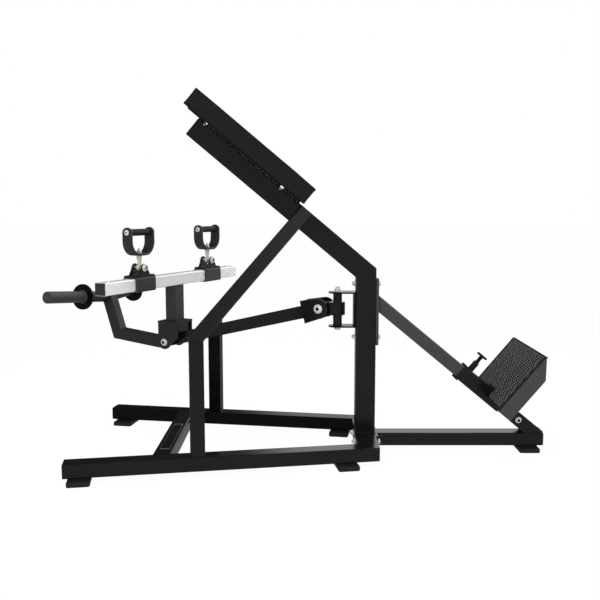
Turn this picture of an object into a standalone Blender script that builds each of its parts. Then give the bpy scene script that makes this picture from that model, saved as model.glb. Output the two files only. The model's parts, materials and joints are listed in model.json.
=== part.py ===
"""A lever row machine, one named object for each piece, in metres, +Z up.

The long axis runs along X: the handles are at the left, the tail beam and the footplate at the right.
While the pieces are built, X = 0 is the middle of the upright, Y = 0 the middle plane, and the floor is Z = 0.
The lever's own pieces use L (along the lever, from the pivot pin), E (across it) and Z.
"""

import math

import bmesh
import bpy
from mathutils import Matrix, Vector

# Clearance between pieces that touch
GAP = 0.0003

# Floor rails
RAIL_WIDTH = 0.068
RAIL_HEIGHT = 0.052
RAIL_WALL = 0.003
RAIL_CORNER = 0.004
RAIL_FLOOR_HEIGHT = 0.022
RAIL_FRONT_X = -1.0804
RAIL_FRONT_Y = 0.3862
RAIL_REAR_X = 0.040
RAIL_REAR_Y = 0.193
CAP_THICKNESS = 0.004
CAP_PLUG = 0.015

# Crossmembers, the bare plate on the front one and the tail beam
FRONT_CROSS_X = -0.7535
FRONT_CROSS_WIDTH = 0.067
BARE_PLATE_WIDTH = 0.040
BARE_PLATE_NEAR_Y = -0.245
BARE_PLATE_FAR_Y = 0.088
BARE_PLATE_THICKNESS = 0.0015
BARE_PLATE_CORNER = 0.0032
TAIL_PLATE_THICKNESS = 0.0077
TAIL_PLATE_HALF_WIDTH = 0.080
TAIL_END_X = 0.705
TAIL_BOLT_Y = 0.058

# Rubber feet
FOOT_LENGTH = 0.080
FOOT_WIDTH = 0.124
FOOT_THICKNESS = 0.017
FOOT_EDGE = 0.002
FOOT_CORNER = 0.006
FRONT_FOOT_INSET = 0.0504
REAR_FOOT_INSET = 0.125
TAIL_FOOT_INSET = 0.059

# Upright and backbone
UPRIGHT_DEPTH = 0.078
UPRIGHT_WIDTH = 0.068
UPRIGHT_WALL = 0.003
BEND_Z = 0.706
BACKBONE_ANGLE = math.radians(40.0)
BACKBONE_LENGTH = 0.864

# Bent struts
STRUT_SIZE = 0.052
STRUT_WALL = 0.0025
STRUT_X = -0.6226
STRUT_OUTSET = 0.004
STRUT_BEND_Z = 0.497
STRUT_SEAT_ALONG = 0.3327
STRUT_SEAT_UP = 0.0105

# Chest pad, its board and its mounting strips
PAD_LENGTH = 0.573
PAD_HALF_WIDTH = 0.130
PAD_THICKNESS = 0.0705
PAD_OVERHANG = 0.062
PAD_CORNER = 0.012
PAD_EDGE = 0.006
PAD_CROWN = 0.004
PAD_SIDE_DRAW = 0.0015
PAD_RIDGE = 0.008
BOARD_THICKNESS = 0.012
BOARD_INSET = 0.010
BOARD_CORNER = 0.002
STRIP_THICKNESS = 0.0068
STRIP_WIDTH = 0.050
UPPER_STRIP_INSET = 0.005
NOTCH_START = 0.026
NOTCH_LENGTH = 0.013
NOTCH_DEPTH = 0.0052
LOWER_STRIP_LENGTH = 0.082
LOWER_STRIP_INSET = 0.017
STRIP_SPACE = 0.0152

# Pivot bracket, pin, bushing and hub
WEB_THICKNESS = 0.008
FLANGE_THICKNESS = 0.006
FLANGE_WIDTH = 0.070
PIN_REACH = 0.070
BRACKET_DROP = 0.0703
BRACKET_RISE = 0.068
PIN_RADIUS = 0.008
PIN_HEAD_RADIUS = 0.012
PIN_HEAD_HEIGHT = 0.010
PIN_NUT_HEIGHT = 0.015
PIN_WASHER_RADIUS = 0.015
BUSHING_WALL = 0.004
BARREL_RADIUS = 0.0175
HUB_BLOCK_DROP = 0.0243
HUB_BLOCK_RISE = 0.0267
HUB_BLOCK_WIDTH = 0.050
HUB_BLOCK_BACK = 0.023
HUB_BLOCK_CORNER = 0.0042
LIFT_L = 0.0657
LIFT_DROP = 0.1427
LIFT_BARREL_RADIUS = 0.021
LIFT_BOLT_RADIUS = 0.008
LIFT_WASHER_RADIUS = 0.0178

# Lever: yaw from the middle plane, fork, arm and gooseneck
LEVER_YAW = math.radians(25.5)
FORK_INNER_WIDTH = 0.070
FORK_PLATE = 0.005
FORK_RADIUS = 0.040
FORK_REACH = 0.0684
FORK_BASE_THICKNESS = 0.008
FORK_SIDE_RISE = 0.021
WELD_STEP = 0.001
ARM_WIDTH = 0.048
ARM_HEIGHT = 0.050
ARM_WALL = 0.003
ARM_ANGLE = math.radians(14.04)
KNEE_L = 0.8323
GOOSENECK_ANGLE = math.radians(5.6)
GOOSENECK_LENGTH = 0.2317
RISER_LEAN = 0.059
RISER_HEIGHT = 0.1787
RISER_SOLID_LENGTH = 0.075

# Weight horns and the cross tube between them
HORN_DROP = 0.016
HORN_TILT = math.radians(5.1)
CROSS_TUBE_RADIUS = 0.024
HORN_INNER_E = 0.172
HORN_OUTER_E = 0.387
HORN_RADIUS = 0.025
HORN_WALL = 0.0035
HORN_FLANGE_RADIUS = 0.0555
HORN_FLANGE_THICKNESS = 0.0102
HORN_END_THICKNESS = 0.006
HORN_END_EDGE = 0.003

# Saddle on the arm and the handle post, both centred under the bar, which stands back from the knee
BAR_SETBACK = 0.0683
SADDLE_LENGTH = 0.1002
SADDLE_HALF_WIDTH = 0.056
SADDLE_PLATE = 0.008
SADDLE_RISE = 0.0833
SADDLE_BOLT_OFFSET = 0.020
SADDLE_BOLT_DROP = 0.003
SADDLE_EAR_RADIUS = 0.031
SADDLE_BOLT_RADIUS = 0.006
SADDLE_SPACER_RADIUS = 0.0122
SEAT_LENGTH = 0.030
POST_LENGTH = 0.1524
POST_DEPTH = 0.050
POST_WIDTH = 0.070
POST_WALL = 0.003

# Polished handle bar
BAR_SIZE = 0.050
BAR_WALL = 0.003
BAR_CORNER = 0.005
BAR_HALF_LENGTH = 0.4875
BAR_CAP_INSET = 0.0015

# Carriages and lug brackets
NEAR_CARRIAGE_E = -0.242
FAR_CARRIAGE_E = 0.266
CARRIAGE_LENGTH = 0.123
CARRIAGE_WIDTH = 0.068
CARRIAGE_WALL_BELOW = 0.004
CARRIAGE_WALL_ABOVE = 0.005
CARRIAGE_CORNER = 0.006
LUG_BASE_WIDTH = 0.058
LUG_BASE_LENGTH = 0.130
LUG_BASE_THICKNESS = 0.006
LUG_BASE_CORNER = 0.003
LUG_OFFSET = 0.0225
LUG_THICKNESS = 0.005
LUG_LENGTH = 0.078
LUG_APEX_RADIUS = 0.016
LUG_BOLT_RADIUS = 0.005
LUG_BOLT_HEAD_RADIUS = 0.0125
LUG_BOLT_HEAD_HEIGHT = 0.008
LUG_WASHER_RADIUS = 0.0155
LUG_NUT_HEIGHT = 0.010
LUG_BOLT_RISE = 0.0367

# Swivel eyes, strap handles and grips
EYE_RADIUS = 0.016
EYE_THICKNESS = 0.014
EYE_NECK_RADIUS = 0.006
EYE_STEM_RADIUS = 0.008
EYE_COLLAR_RADIUS = 0.011
EYE_COLLAR_HEIGHT = 0.006
EYE_THREAD_RADIUS = 0.005
EYE_NUT_RADIUS = 0.011
EYE_NUT_HEIGHT = 0.013
STRAP_RISE = 0.048
STRAP_THICKNESS = 0.010
STRAP_WIDTH = 0.045
STRAP_HEAD_RISE = 0.020
STRAP_HALF_SPAN = 0.071
STRAP_BEND_RADIUS = 0.052
GRIP_RISE = 0.093
GRIP_RADIUS = 0.0138
GRIP_EDGE = 0.001
GRIP_BOLT_RADIUS = 0.005
BUTTON_RADIUS = 0.011
BUTTON_HEIGHT = 0.006

# Tail diagonal tube, its plate and its lower socket
DIAGONAL_PLATE_THICKNESS = 0.010
DIAGONAL_PLATE_WIDTH = 0.070
DIAGONAL_BOLT_RISE = 0.0315
DIAGONAL_BOLT_DROP = 0.0405
DIAGONAL_PLATE_MARGIN_ABOVE = 0.020
DIAGONAL_PLATE_MARGIN_BELOW = 0.028
DIAGONAL_SIZE = 0.050
DIAGONAL_WALL = 0.003
DIAGONAL_REACH = 0.013
DIAGONAL_DROP = 0.123
DIAGONAL_ANGLE = math.radians(39.65)
DIAGONAL_END_RISE = 0.0336
SOCKET_LENGTH = 0.051
SOCKET_PLATE = 0.006
SOCKET_BASE_THICKNESS = 0.006
SOCKET_BOLT_INSET = 0.028
SOCKET_BOLT_RADIUS = 0.006
SOCKET_BOLT_HEAD_RADIUS = 0.0095
SOCKET_WASHER_RADIUS = 0.012

# Footplate slider and platform
SLIDER_START_S = 0.420
SLIDER_LENGTH = 0.210
SLIDER_SIZE = 0.060
COLLAR_LEAD = 0.004
COLLAR_LENGTH = 0.010
COLLAR_SIZE = 0.069
PLUNGER_OFFSET = 0.028
PLUNGER_RADIUS = 0.005
PLUNGER_TIP_EDGE = 0.001
PLUNGER_BARREL_RADIUS = 0.0122
PLUNGER_BARREL_TOP_T = 0.065
PLUNGER_RING_RADIUS = 0.012
PLUNGER_RING_HEIGHT = 0.005
PLUNGER_STEM_RADIUS = 0.008
KNOB_T = 0.097
KNOB_RADIUS = 0.023
KNOB_THICKNESS = 0.009
KNOB_EDGE = 0.002
TREAD_OFFSET = 0.146
TREAD_LOW_T = -0.010
TREAD_HIGH_T = 0.250
TREAD_HALF_WIDTH = 0.219
TREAD_THICKNESS = 0.005
SIDE_PLATE_LENGTH = 0.056
SIDE_PLATE_HIGH_T = 0.180
SIDE_PLATE_LOW_T = -0.016

# Bolts that hold the flange plates
BOLT_RADIUS = 0.006
BOLT_HEAD_RADIUS = 0.0105
BOLT_HEAD_HEIGHT = 0.0075
WASHER_RADIUS = 0.0125
WASHER_THICKNESS = 0.002
NUT_HEIGHT = 0.010

# How far a hole's cutter reaches beyond the hole at both ends
DRILL_MARGIN = 0.020

# Smallest corner of a tube's bore
BORE_CORNER = 0.001

# Fineness of the round shapes
CORNER_STEPS = 2
ROUND_STEPS = 18
EDGE_STEPS = 2
CROWN_STEPS = 5
FLANGE_ARC_STEPS = 12
FORK_ARC_STEPS = 12
EAR_ARC_STEPS = 10
LUG_ARC_STEPS = 8
STRAP_ARC_STEPS = 6

X_AXIS = Vector((1, 0, 0))
Y_AXIS = Vector((0, 1, 0))
Z_AXIS = Vector((0, 0, 1))
SIDES = (("near", -1), ("far", 1))
CARRIAGES = (("near", NEAR_CARRIAGE_E), ("far", FAR_CARRIAGE_E))

# Worked out from the values above
RAIL_TOP_Z = RAIL_FLOOR_HEIGHT + RAIL_HEIGHT
RAIL_SPLAY = (RAIL_FRONT_Y - RAIL_REAR_Y) / (RAIL_REAR_X - RAIL_FRONT_X)
RAIL_MIDDLE_Z = RAIL_FLOOR_HEIGHT + RAIL_HEIGHT / 2
LEVER_ALONG = Vector((-math.cos(LEVER_YAW), math.sin(LEVER_YAW), 0))
LEVER_ACROSS = Vector((math.sin(LEVER_YAW), math.cos(LEVER_YAW), 0))
GOOSENECK_ALONG = LEVER_ALONG * math.cos(GOOSENECK_ANGLE) + Vector((0, 0, math.sin(GOOSENECK_ANGLE)))
BACKBONE_ALONG = Vector((-math.cos(BACKBONE_ANGLE), 0, math.sin(BACKBONE_ANGLE)))
BACKBONE_UP = Vector((math.sin(BACKBONE_ANGLE), 0, math.cos(BACKBONE_ANGLE)))
BACKBONE_START = Vector((0, 0, BEND_Z))
BACKBONE_END = BACKBONE_START + BACKBONE_ALONG * BACKBONE_LENGTH
DIAGONAL_ALONG = Vector((math.cos(DIAGONAL_ANGLE), 0, -math.sin(DIAGONAL_ANGLE)))
DIAGONAL_UP = Vector((math.sin(DIAGONAL_ANGLE), 0, math.cos(DIAGONAL_ANGLE)))
PIN_X = -(UPRIGHT_DEPTH / 2 + PIN_REACH)
LIFT_Z = BEND_Z - LIFT_DROP
BRACKET_BOTTOM_Z = LIFT_Z - BRACKET_DROP
BRACKET_TOP_Z = LIFT_Z + BRACKET_RISE
BARREL_BOTTOM_Z = BRACKET_BOTTOM_Z + FLANGE_THICKNESS + 2 * GAP
BARREL_TOP_Z = BRACKET_TOP_Z - FLANGE_THICKNESS - 2 * GAP
DIAGONAL_BOLT_UPPER_Z = BRACKET_TOP_Z + DIAGONAL_BOLT_RISE
DIAGONAL_BOLT_LOWER_Z = BRACKET_BOTTOM_Z - DIAGONAL_BOLT_DROP
DIAGONAL_X = UPRIGHT_DEPTH / 2 + DIAGONAL_REACH
DIAGONAL_Z = BEND_Z - DIAGONAL_DROP
DIAGONAL_LENGTH = (DIAGONAL_Z - RAIL_TOP_Z - DIAGONAL_END_RISE) / math.sin(DIAGONAL_ANGLE)
SOCKET_BOLT_S = DIAGONAL_LENGTH - SOCKET_BOLT_INSET
PLUNGER_S = SLIDER_START_S + PLUNGER_OFFSET
TREAD_S = SLIDER_START_S + TREAD_OFFSET


def arm_z(along):
    """Height of the arm's middle line, which runs through the lift bolt's middle."""
    return LIFT_Z - math.tan(ARM_ANGLE) * (along - LIFT_L)


BAR_L = KNEE_L - BAR_SETBACK
SADDLE_BOLT_L = BAR_L + SADDLE_BOLT_OFFSET
SADDLE_BOLT_Z = arm_z(SADDLE_BOLT_L) - SADDLE_BOLT_DROP
SADDLE_TOP_Z = arm_z(BAR_L) + SADDLE_RISE
BAR_Z = SADDLE_TOP_Z + POST_LENGTH + 2 * GAP + BAR_SIZE / 2
CARRIAGE_TOP_Z = BAR_Z + BAR_SIZE / 2 + GAP + CARRIAGE_WALL_ABOVE
LUG_BOLT_Z = CARRIAGE_TOP_Z + LUG_BOLT_RISE
STRAP_BOTTOM_Z = LUG_BOLT_Z + STRAP_RISE
GRIP_Z = STRAP_BOTTOM_Z + GRIP_RISE
GOOSENECK_BEND_L = KNEE_L + GOOSENECK_LENGTH
GOOSENECK_BEND_Z = arm_z(KNEE_L) + math.tan(GOOSENECK_ANGLE) * GOOSENECK_LENGTH
RISER_TOP_L = GOOSENECK_BEND_L + RISER_LEAN
RISER_TOP_Z = GOOSENECK_BEND_Z + RISER_HEIGHT
HORN_Z = RISER_TOP_Z - HORN_DROP


def lever_point(along, across, z):
    """A point given by L, E and Z."""
    return Vector((PIN_X, 0, z)) + LEVER_ALONG * along + LEVER_ACROSS * across


def diagonal_point(along, up, y=0.0):
    """A point given by its distance along the tail tube, above it and across."""
    start = Vector((DIAGONAL_X, y, DIAGONAL_Z))
    return start + DIAGONAL_ALONG * along + DIAGONAL_UP * up


def pad_point(down, up, y=0.0):
    """A point given by its distance down from the backbone's end, above its top and across."""
    top = BACKBONE_END + BACKBONE_UP * (UPRIGHT_DEPTH / 2 + up)
    return top - BACKBONE_ALONG * down + Y_AXIS * y


def rail_y(x):
    """Distance of a rail's middle line from the middle plane."""
    return RAIL_REAR_Y + RAIL_SPLAY * (RAIL_REAR_X - x)


def rail_along(side):
    """Direction of a rail, from the front to the rear."""
    return Vector((1, -side * RAIL_SPLAY, 0)).normalized()


def arc_angles(first, last, steps):
    """Angles in radians from first to last, both in degrees."""
    return [math.radians(first + (last - first) * k / steps) for k in range(steps + 1)]


def clear_scene():
    """Remove every object, so that the script starts from nothing."""
    for old in list(bpy.data.objects):
        bpy.data.objects.remove(old, do_unlink=True)


def make_material(name, colour, roughness, metallic=0.0):
    """A plain Principled material."""
    material = bpy.data.materials.new(name)
    material.use_nodes = True
    shader = material.node_tree.nodes["Principled BSDF"]
    shader.inputs["Base Color"].default_value = (*colour, 1.0)
    shader.inputs["Roughness"].default_value = roughness
    shader.inputs["Metallic"].default_value = metallic
    return material


FINISHES = {
    "black_paint": ((0.012, 0.012, 0.013), 0.25, 0.0),
    "grey_paint": ((0.045, 0.045, 0.048), 0.40, 0.0),
    "rubber": ((0.020, 0.020, 0.020), 0.80, 0.0),
    "plastic": ((0.018, 0.018, 0.018), 0.50, 0.0),
    "vinyl": ((0.014, 0.014, 0.015), 0.45, 0.0),
    "plywood": ((0.450, 0.300, 0.160), 0.70, 0.0),
    "steel": ((0.620, 0.620, 0.630), 0.25, 1.0),
    "polished": ((0.780, 0.780, 0.790), 0.12, 1.0),
    "zinc": ((0.700, 0.620, 0.360), 0.30, 1.0),
    "bronze": ((0.550, 0.380, 0.160), 0.35, 1.0),
}


class Machine:
    """Holds the root empty and puts each finished mesh under its parent empty."""

    def __init__(self):
        self.root = bpy.data.objects.new("machine", None)
        bpy.context.scene.collection.objects.link(self.root)
        self.pieces = []

    def pivot(self, name, place, parent=None):
        """An empty on a joint's axis."""
        empty = bpy.data.objects.new(name, None)
        bpy.context.scene.collection.objects.link(empty)
        self.attach(empty, place, parent)
        return empty

    def attach(self, item, place, parent):
        """Parent an item and set its place, given in the building frame."""
        holder = parent or self.root
        item.parent = holder
        bpy.context.view_layer.update()
        item.location = Vector(place) - holder.matrix_world.translation

    def add(self, name, mesh, finish, place=(0, 0, 0), parent=None, smooth=False):
        """A visible piece: its mesh is given in the building frame, its origin is at place."""
        piece = self.shape(name, mesh, place, parent)
        piece.data.materials.append(make_material(name, *FINISHES[finish]))
        if smooth:
            piece.data.shade_smooth()
            piece.data.set_sharp_from_angle(angle=math.radians(35))
        self.pieces.append(piece)
        return piece

    def shape(self, name, mesh, place=(0, 0, 0), parent=None):
        """An object with its mesh moved so that its origin lies at place."""
        item = bpy.data.objects.new(name, mesh)
        bpy.context.scene.collection.objects.link(item)
        mesh.transform(Matrix.Translation(-Vector(place)))
        self.attach(item, place, parent)
        return item

    def tool(self, piece, mesh, operation):
        """Join or cut a piece with a hidden helper shape."""
        helper = self.shape(piece.name + "_" + operation.lower(), mesh, (0, 0, 0), None)
        helper.hide_render = True
        helper.display_type = "WIRE"
        boolean = piece.modifiers.new(operation.lower(), "BOOLEAN")
        boolean.object = helper
        boolean.operation = operation
        boolean.solver = "EXACT"

    def join(self, piece, *meshes):
        """Union a piece with one or more shapes."""
        for mesh in meshes:
            self.tool(piece, mesh, "UNION")

    def cut(self, piece, *meshes):
        """Cut one or more shapes out of a piece."""
        for mesh in meshes:
            self.tool(piece, mesh, "DIFFERENCE")

    def centre_on_floor(self):
        """Move the whole machine so that its box is centred on X and Y."""
        bpy.context.view_layer.update()
        corners = [p.matrix_world @ v.co for p in self.pieces for v in p.data.vertices]
        middle_x = (min(c.x for c in corners) + max(c.x for c in corners)) / 2
        middle_y = (min(c.y for c in corners) + max(c.y for c in corners)) / 2
        self.root.location = (-middle_x, -middle_y, 0)
        bpy.context.view_layer.update()


def loft(rings, ring_shaped=False):
    """A closed mesh through rings of equal count; ring_shaped joins the last ring to the first."""
    bm = bmesh.new()
    loops = [[bm.verts.new(point) for point in ring] for ring in rings]
    count = len(loops[0])
    pairs = list(zip(loops, loops[1:]))
    if ring_shaped:
        pairs.append((loops[-1], loops[0]))
    for lower, upper in pairs:
        for i in range(count):
            j = (i + 1) % count
            bm.faces.new((lower[i], lower[j], upper[j], upper[i]))
    if not ring_shaped:
        bm.faces.new(list(reversed(loops[0])))
        bm.faces.new(loops[-1])
    bmesh.ops.recalc_face_normals(bm, faces=bm.faces)
    mesh = bpy.data.meshes.new("shape")
    bm.to_mesh(mesh)
    bm.free()
    return mesh


def rectangle(width, height, corner=0.0, steps=CORNER_STEPS):
    """Outline of a rectangle with rounded corners, about its middle."""
    if corner <= 0:
        return [(width / 2, -height / 2), (width / 2, height / 2),
                (-width / 2, height / 2), (-width / 2, -height / 2)]
    points = []
    for quarter, (sx, sy) in enumerate(((1, -1), (1, 1), (-1, 1), (-1, -1))):
        cx = sx * (width / 2 - corner)
        cy = sy * (height / 2 - corner)
        for step in range(steps + 1):
            angle = math.radians(-90 + 90 * quarter + 90 * step / steps)
            points.append((cx + corner * math.cos(angle), cy + corner * math.sin(angle)))
    return points


def circle(radius, steps=ROUND_STEPS):
    """Outline of a circle."""
    turns = [2 * math.pi * (i + 0.5) / steps for i in range(steps)]
    return [(radius * math.cos(a), radius * math.sin(a)) for a in turns]


def hexagon(radius, steps=ROUND_STEPS):
    """Outline of a hexagon that has radius as its half width across flats, on as many points as a circle."""
    points = []
    for x, y in circle(1.0, steps):
        angle = math.atan2(y, x) % (math.pi / 3) - math.pi / 6
        reach = radius / math.cos(angle)
        points.append((x * reach, y * reach))
    return points


def place_outline(outline, centre, u, v):
    """Put a flat outline at a centre, its first coordinate along u and its second along v."""
    return [Vector(centre) + u * a + v * b for a, b in outline]


def slide_to_plane(points, along, plane_point, plane_normal):
    """Move points along a direction until they lie on a plane."""
    fall = along.dot(plane_normal)
    return [p + along * ((plane_point - p).dot(plane_normal) / fall) for p in points]


def plate(outline, centre, u, v, thickness):
    """A flat plate: an outline in the plane of u and v, thickened along u x v, half to each side."""
    normal = u.cross(v).normalized()
    half = normal * (thickness / 2)
    first = place_outline(outline, Vector(centre) - half, u, v)
    second = place_outline(outline, Vector(centre) + half, u, v)
    return loft([first, second])


def box(low, high):
    """A box along the axes."""
    middle = (Vector(low) + Vector(high)) / 2
    size = Vector(high) - Vector(low)
    return plate(rectangle(size.x, size.y), middle, X_AXIS, Y_AXIS, size.z)


def path_planes(path, start_normal, end_normal):
    """The plane of each path point: square ends unless given, and a mitre at each bend."""
    normals = []
    for k, point in enumerate(path):
        before = (point - path[k - 1]).normalized() if k > 0 else None
        after = (path[k + 1] - point).normalized() if k < len(path) - 1 else None
        if before is None:
            normals.append(start_normal or after)
        elif after is None:
            normals.append(end_normal or before)
        else:
            normals.append((before + after).normalized())
    return normals


def sweep_rings(path, outline, u, v, normals):
    """The outline at each path point, mitred at the bends; u and v hold at the path's start."""
    along = (path[1] - path[0]).normalized()
    ring = place_outline(outline, path[0], u, v)
    rings = [slide_to_plane(ring, along, path[0], normals[0])]
    for k in range(1, len(path)):
        along = (path[k] - path[k - 1]).normalized()
        rings.append(slide_to_plane(rings[-1], along, path[k], normals[k]))
    return rings


def tube(path, width, height, wall, u, corner=RAIL_CORNER, start_normal=None, end_normal=None, bore=None):
    """A hollow rectangular tube along a path; u is the direction of its width at the start."""
    path = [Vector(p) for p in path]
    along = (path[1] - path[0]).normalized()
    v = along.cross(u).normalized()
    normals = path_planes(path, start_normal, end_normal)
    inner_width, inner_height = bore or (width - 2 * wall, height - 2 * wall)
    outer = rectangle(width, height, corner)
    inner = rectangle(inner_width, inner_height, max(corner - wall, BORE_CORNER))
    outside = sweep_rings(path, outer, u, v, normals)
    inside = sweep_rings(path, inner, u, v, normals)
    return loft(outside + inside[::-1], ring_shaped=True)


def turned(profile, start, along, across, outline=circle, steps=ROUND_STEPS, bored=False):
    """A turned piece: (radius, distance) pairs along an axis; bored profiles close on themselves."""
    other = along.cross(across).normalized()
    rings = []
    for entry in profile:
        shape = entry[2] if len(entry) > 2 else outline
        centre = Vector(start) + along * entry[1]
        rings.append(place_outline(shape(entry[0], steps), centre, across, other))
    return loft(rings, ring_shaped=bored)


def rod(start, end, radius, across, margin=0.0):
    """A plain cylinder between two points, lengthened at both ends by a margin."""
    start = Vector(start)
    length = (Vector(end) - start).length
    along = (Vector(end) - start).normalized()
    return turned([(radius, -margin), (radius, length + margin)], start, along, across)


def drill(start, end, radius, across):
    """The cutter of a round hole with its clearance, longer than the hole at both ends."""
    return rod(start, end, radius + GAP, across, DRILL_MARGIN)


def bolt(start, along, across, grip, radius, head_radius, head_height=BOLT_HEAD_HEIGHT,
         washer_radius=WASHER_RADIUS, nut_height=NUT_HEIGHT):
    """A through bolt with washers and nut; start is the face under its head, grip the clamped length."""
    lower = -GAP
    upper = grip + GAP
    thread_end = upper + WASHER_THICKNESS + nut_height
    profile = [
        (head_radius, lower - WASHER_THICKNESS - head_height, hexagon),
        (head_radius, lower - WASHER_THICKNESS, hexagon),
        (washer_radius, lower - WASHER_THICKNESS),
        (washer_radius, lower),
        (radius, lower),
        (radius, upper),
        (washer_radius, upper),
        (washer_radius, upper + WASHER_THICKNESS),
        (head_radius, upper + WASHER_THICKNESS, hexagon),
        (head_radius, thread_end, hexagon),
        (radius, thread_end),
        (radius, thread_end + radius / 3),
    ]
    return turned(profile, start, along, across)


def end_cap(centre, outward, u, width, height, wall, corner=RAIL_CORNER):
    """A plastic cap on a tube's end: an edge-rounded plate with a plug that goes into the tube."""
    v = outward.cross(u).normalized()
    plug_width = width - 2 * wall - 2 * GAP
    plug_height = height - 2 * wall - 2 * GAP
    edge = CAP_THICKNESS / 2
    sizes = [
        (width - 2 * edge, height - 2 * edge, CAP_THICKNESS),
        (width, height, CAP_THICKNESS - edge),
        (width, height, GAP),
        (plug_width, plug_height, GAP),
        (plug_width, plug_height, -CAP_PLUG),
    ]
    rings = []
    for ring_width, ring_height, out in sizes:
        ring_corner = corner if ring_width > plug_width else max(corner - wall, BORE_CORNER)
        outline = rectangle(ring_width, ring_height, ring_corner)
        rings.append(place_outline(outline, centre + outward * out, u, v))
    return loft(rings)


def build_rails(machine):
    """The two splayed floor rails and the caps in their front ends."""
    for label, side in SIDES:
        front = Vector((RAIL_FRONT_X, side * RAIL_FRONT_Y, RAIL_MIDDLE_Z))
        rear = Vector((RAIL_REAR_X, side * RAIL_REAR_Y, RAIL_MIDDLE_Z))
        along = (rear - front).normalized()
        across = along.cross(Z_AXIS)
        rail = tube([front, rear], RAIL_WIDTH, RAIL_HEIGHT, RAIL_WALL, across, end_normal=X_AXIS)
        machine.add("rail_" + label, rail, "black_paint")
        cap = end_cap(front, -along, across, RAIL_WIDTH, RAIL_HEIGHT, RAIL_WALL)
        machine.add("rail_cap_" + label, cap, "plastic")


def crossmember(x, width):
    """A box tube between the rails, its ends cut along the rails' sides."""
    ends = []
    normals = []
    for label, side in SIDES:
        out = Z_AXIS.cross(rail_along(side)) * side
        face = Vector((x, side * rail_y(x), RAIL_MIDDLE_Z)) - out * (RAIL_WIDTH / 2 + GAP)
        reach = (face - Vector((x, 0, RAIL_MIDDLE_Z))).dot(out) / out.dot(Y_AXIS * side)
        ends.append(Vector((x, side * reach, RAIL_MIDDLE_Z)))
        normals.append(out)
    return tube(ends, width, RAIL_HEIGHT, RAIL_WALL, X_AXIS, start_normal=normals[0], end_normal=normals[1])


def build_crossmembers(machine):
    """The two crossmembers and the bare plate that lies on the front one."""
    machine.add("front_crossmember", crossmember(FRONT_CROSS_X, FRONT_CROSS_WIDTH), "black_paint")
    rear = machine.add("rear_crossmember", crossmember(0.0, 2 * RAIL_REAR_X), "black_paint")
    for label, side in SIDES:
        start = Vector((-RAIL_REAR_X, side * TAIL_BOLT_Y, RAIL_MIDDLE_Z))
        machine.cut(rear, drill(start, start + X_AXIS * (2 * RAIL_REAR_X), BOLT_RADIUS, Y_AXIS))
    middle = Vector((FRONT_CROSS_X, (BARE_PLATE_NEAR_Y + BARE_PLATE_FAR_Y) / 2, RAIL_TOP_Z + GAP))
    middle.z += BARE_PLATE_THICKNESS / 2
    outline = rectangle(BARE_PLATE_WIDTH, BARE_PLATE_FAR_Y - BARE_PLATE_NEAR_Y, BARE_PLATE_CORNER)
    bare = plate(outline, middle, X_AXIS, Y_AXIS, BARE_PLATE_THICKNESS)
    machine.add("bare_plate", bare, "black_paint")


def build_tail_beam(machine):
    """The tail beam with its flange plate, its cap and the two through bolts."""
    plate_start = RAIL_REAR_X + GAP
    plate_end = plate_start + TAIL_PLATE_THICKNESS
    low = (plate_start, -TAIL_PLATE_HALF_WIDTH, RAIL_FLOOR_HEIGHT)
    high = (plate_end, TAIL_PLATE_HALF_WIDTH, RAIL_TOP_Z)
    beam = machine.add("tail_beam", box(low, high), "black_paint")
    overlap = TAIL_PLATE_THICKNESS / 2
    start = Vector((plate_end - overlap, 0, RAIL_MIDDLE_Z))
    end = Vector((TAIL_END_X - CAP_THICKNESS, 0, RAIL_MIDDLE_Z))
    machine.join(beam, tube([start, end], RAIL_WIDTH, RAIL_HEIGHT - 2 * GAP, RAIL_WALL, Y_AXIS))
    cap = end_cap(end, X_AXIS, Y_AXIS, RAIL_WIDTH, RAIL_HEIGHT - 2 * GAP, RAIL_WALL)
    machine.add("tail_cap", cap, "plastic")
    for label, side in SIDES:
        head_face = Vector((plate_end, side * TAIL_BOLT_Y, RAIL_MIDDLE_Z))
        machine.cut(beam, drill(head_face - X_AXIS * TAIL_PLATE_THICKNESS, head_face, BOLT_RADIUS, Y_AXIS))
        grip = plate_end + RAIL_REAR_X
        piece = bolt(head_face, -X_AXIS, Y_AXIS, grip, BOLT_RADIUS, BOLT_HEAD_RADIUS)
        machine.add("tail_bolt_" + label, piece, "steel", smooth=True)


def foot(x, y, along):
    """A rubber foot: a broad pad and the block that fills the space under the tube."""
    across = Z_AXIS.cross(along)
    block_top = RAIL_FLOOR_HEIGHT - GAP
    edge = FOOT_EDGE
    sizes = [
        (FOOT_LENGTH - 2 * edge, FOOT_WIDTH - 2 * edge, 0),
        (FOOT_LENGTH, FOOT_WIDTH, edge),
        (FOOT_LENGTH, FOOT_WIDTH, FOOT_THICKNESS - edge),
        (FOOT_LENGTH - 2 * edge, FOOT_WIDTH - 2 * edge, FOOT_THICKNESS),
        (FOOT_LENGTH - 4 * edge, RAIL_WIDTH - 4 * edge, FOOT_THICKNESS),
        (FOOT_LENGTH - 4 * edge, RAIL_WIDTH - 4 * edge, block_top),
    ]
    rings = [place_outline(rectangle(a, b, FOOT_CORNER), (x, y, z), along, across) for a, b, z in sizes]
    return loft(rings)


def build_feet(machine):
    """Two feet under each rail and one under the tail."""
    for place, x in (("front", RAIL_FRONT_X + FRONT_FOOT_INSET), ("rear", RAIL_REAR_X - REAR_FOOT_INSET)):
        for label, side in SIDES:
            mesh = foot(x, side * rail_y(x), rail_along(side))
            machine.add("foot_" + place + "_" + label, mesh, "rubber")
    machine.add("foot_tail", foot(TAIL_END_X - TAIL_FOOT_INSET, 0, X_AXIS), "rubber")


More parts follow.
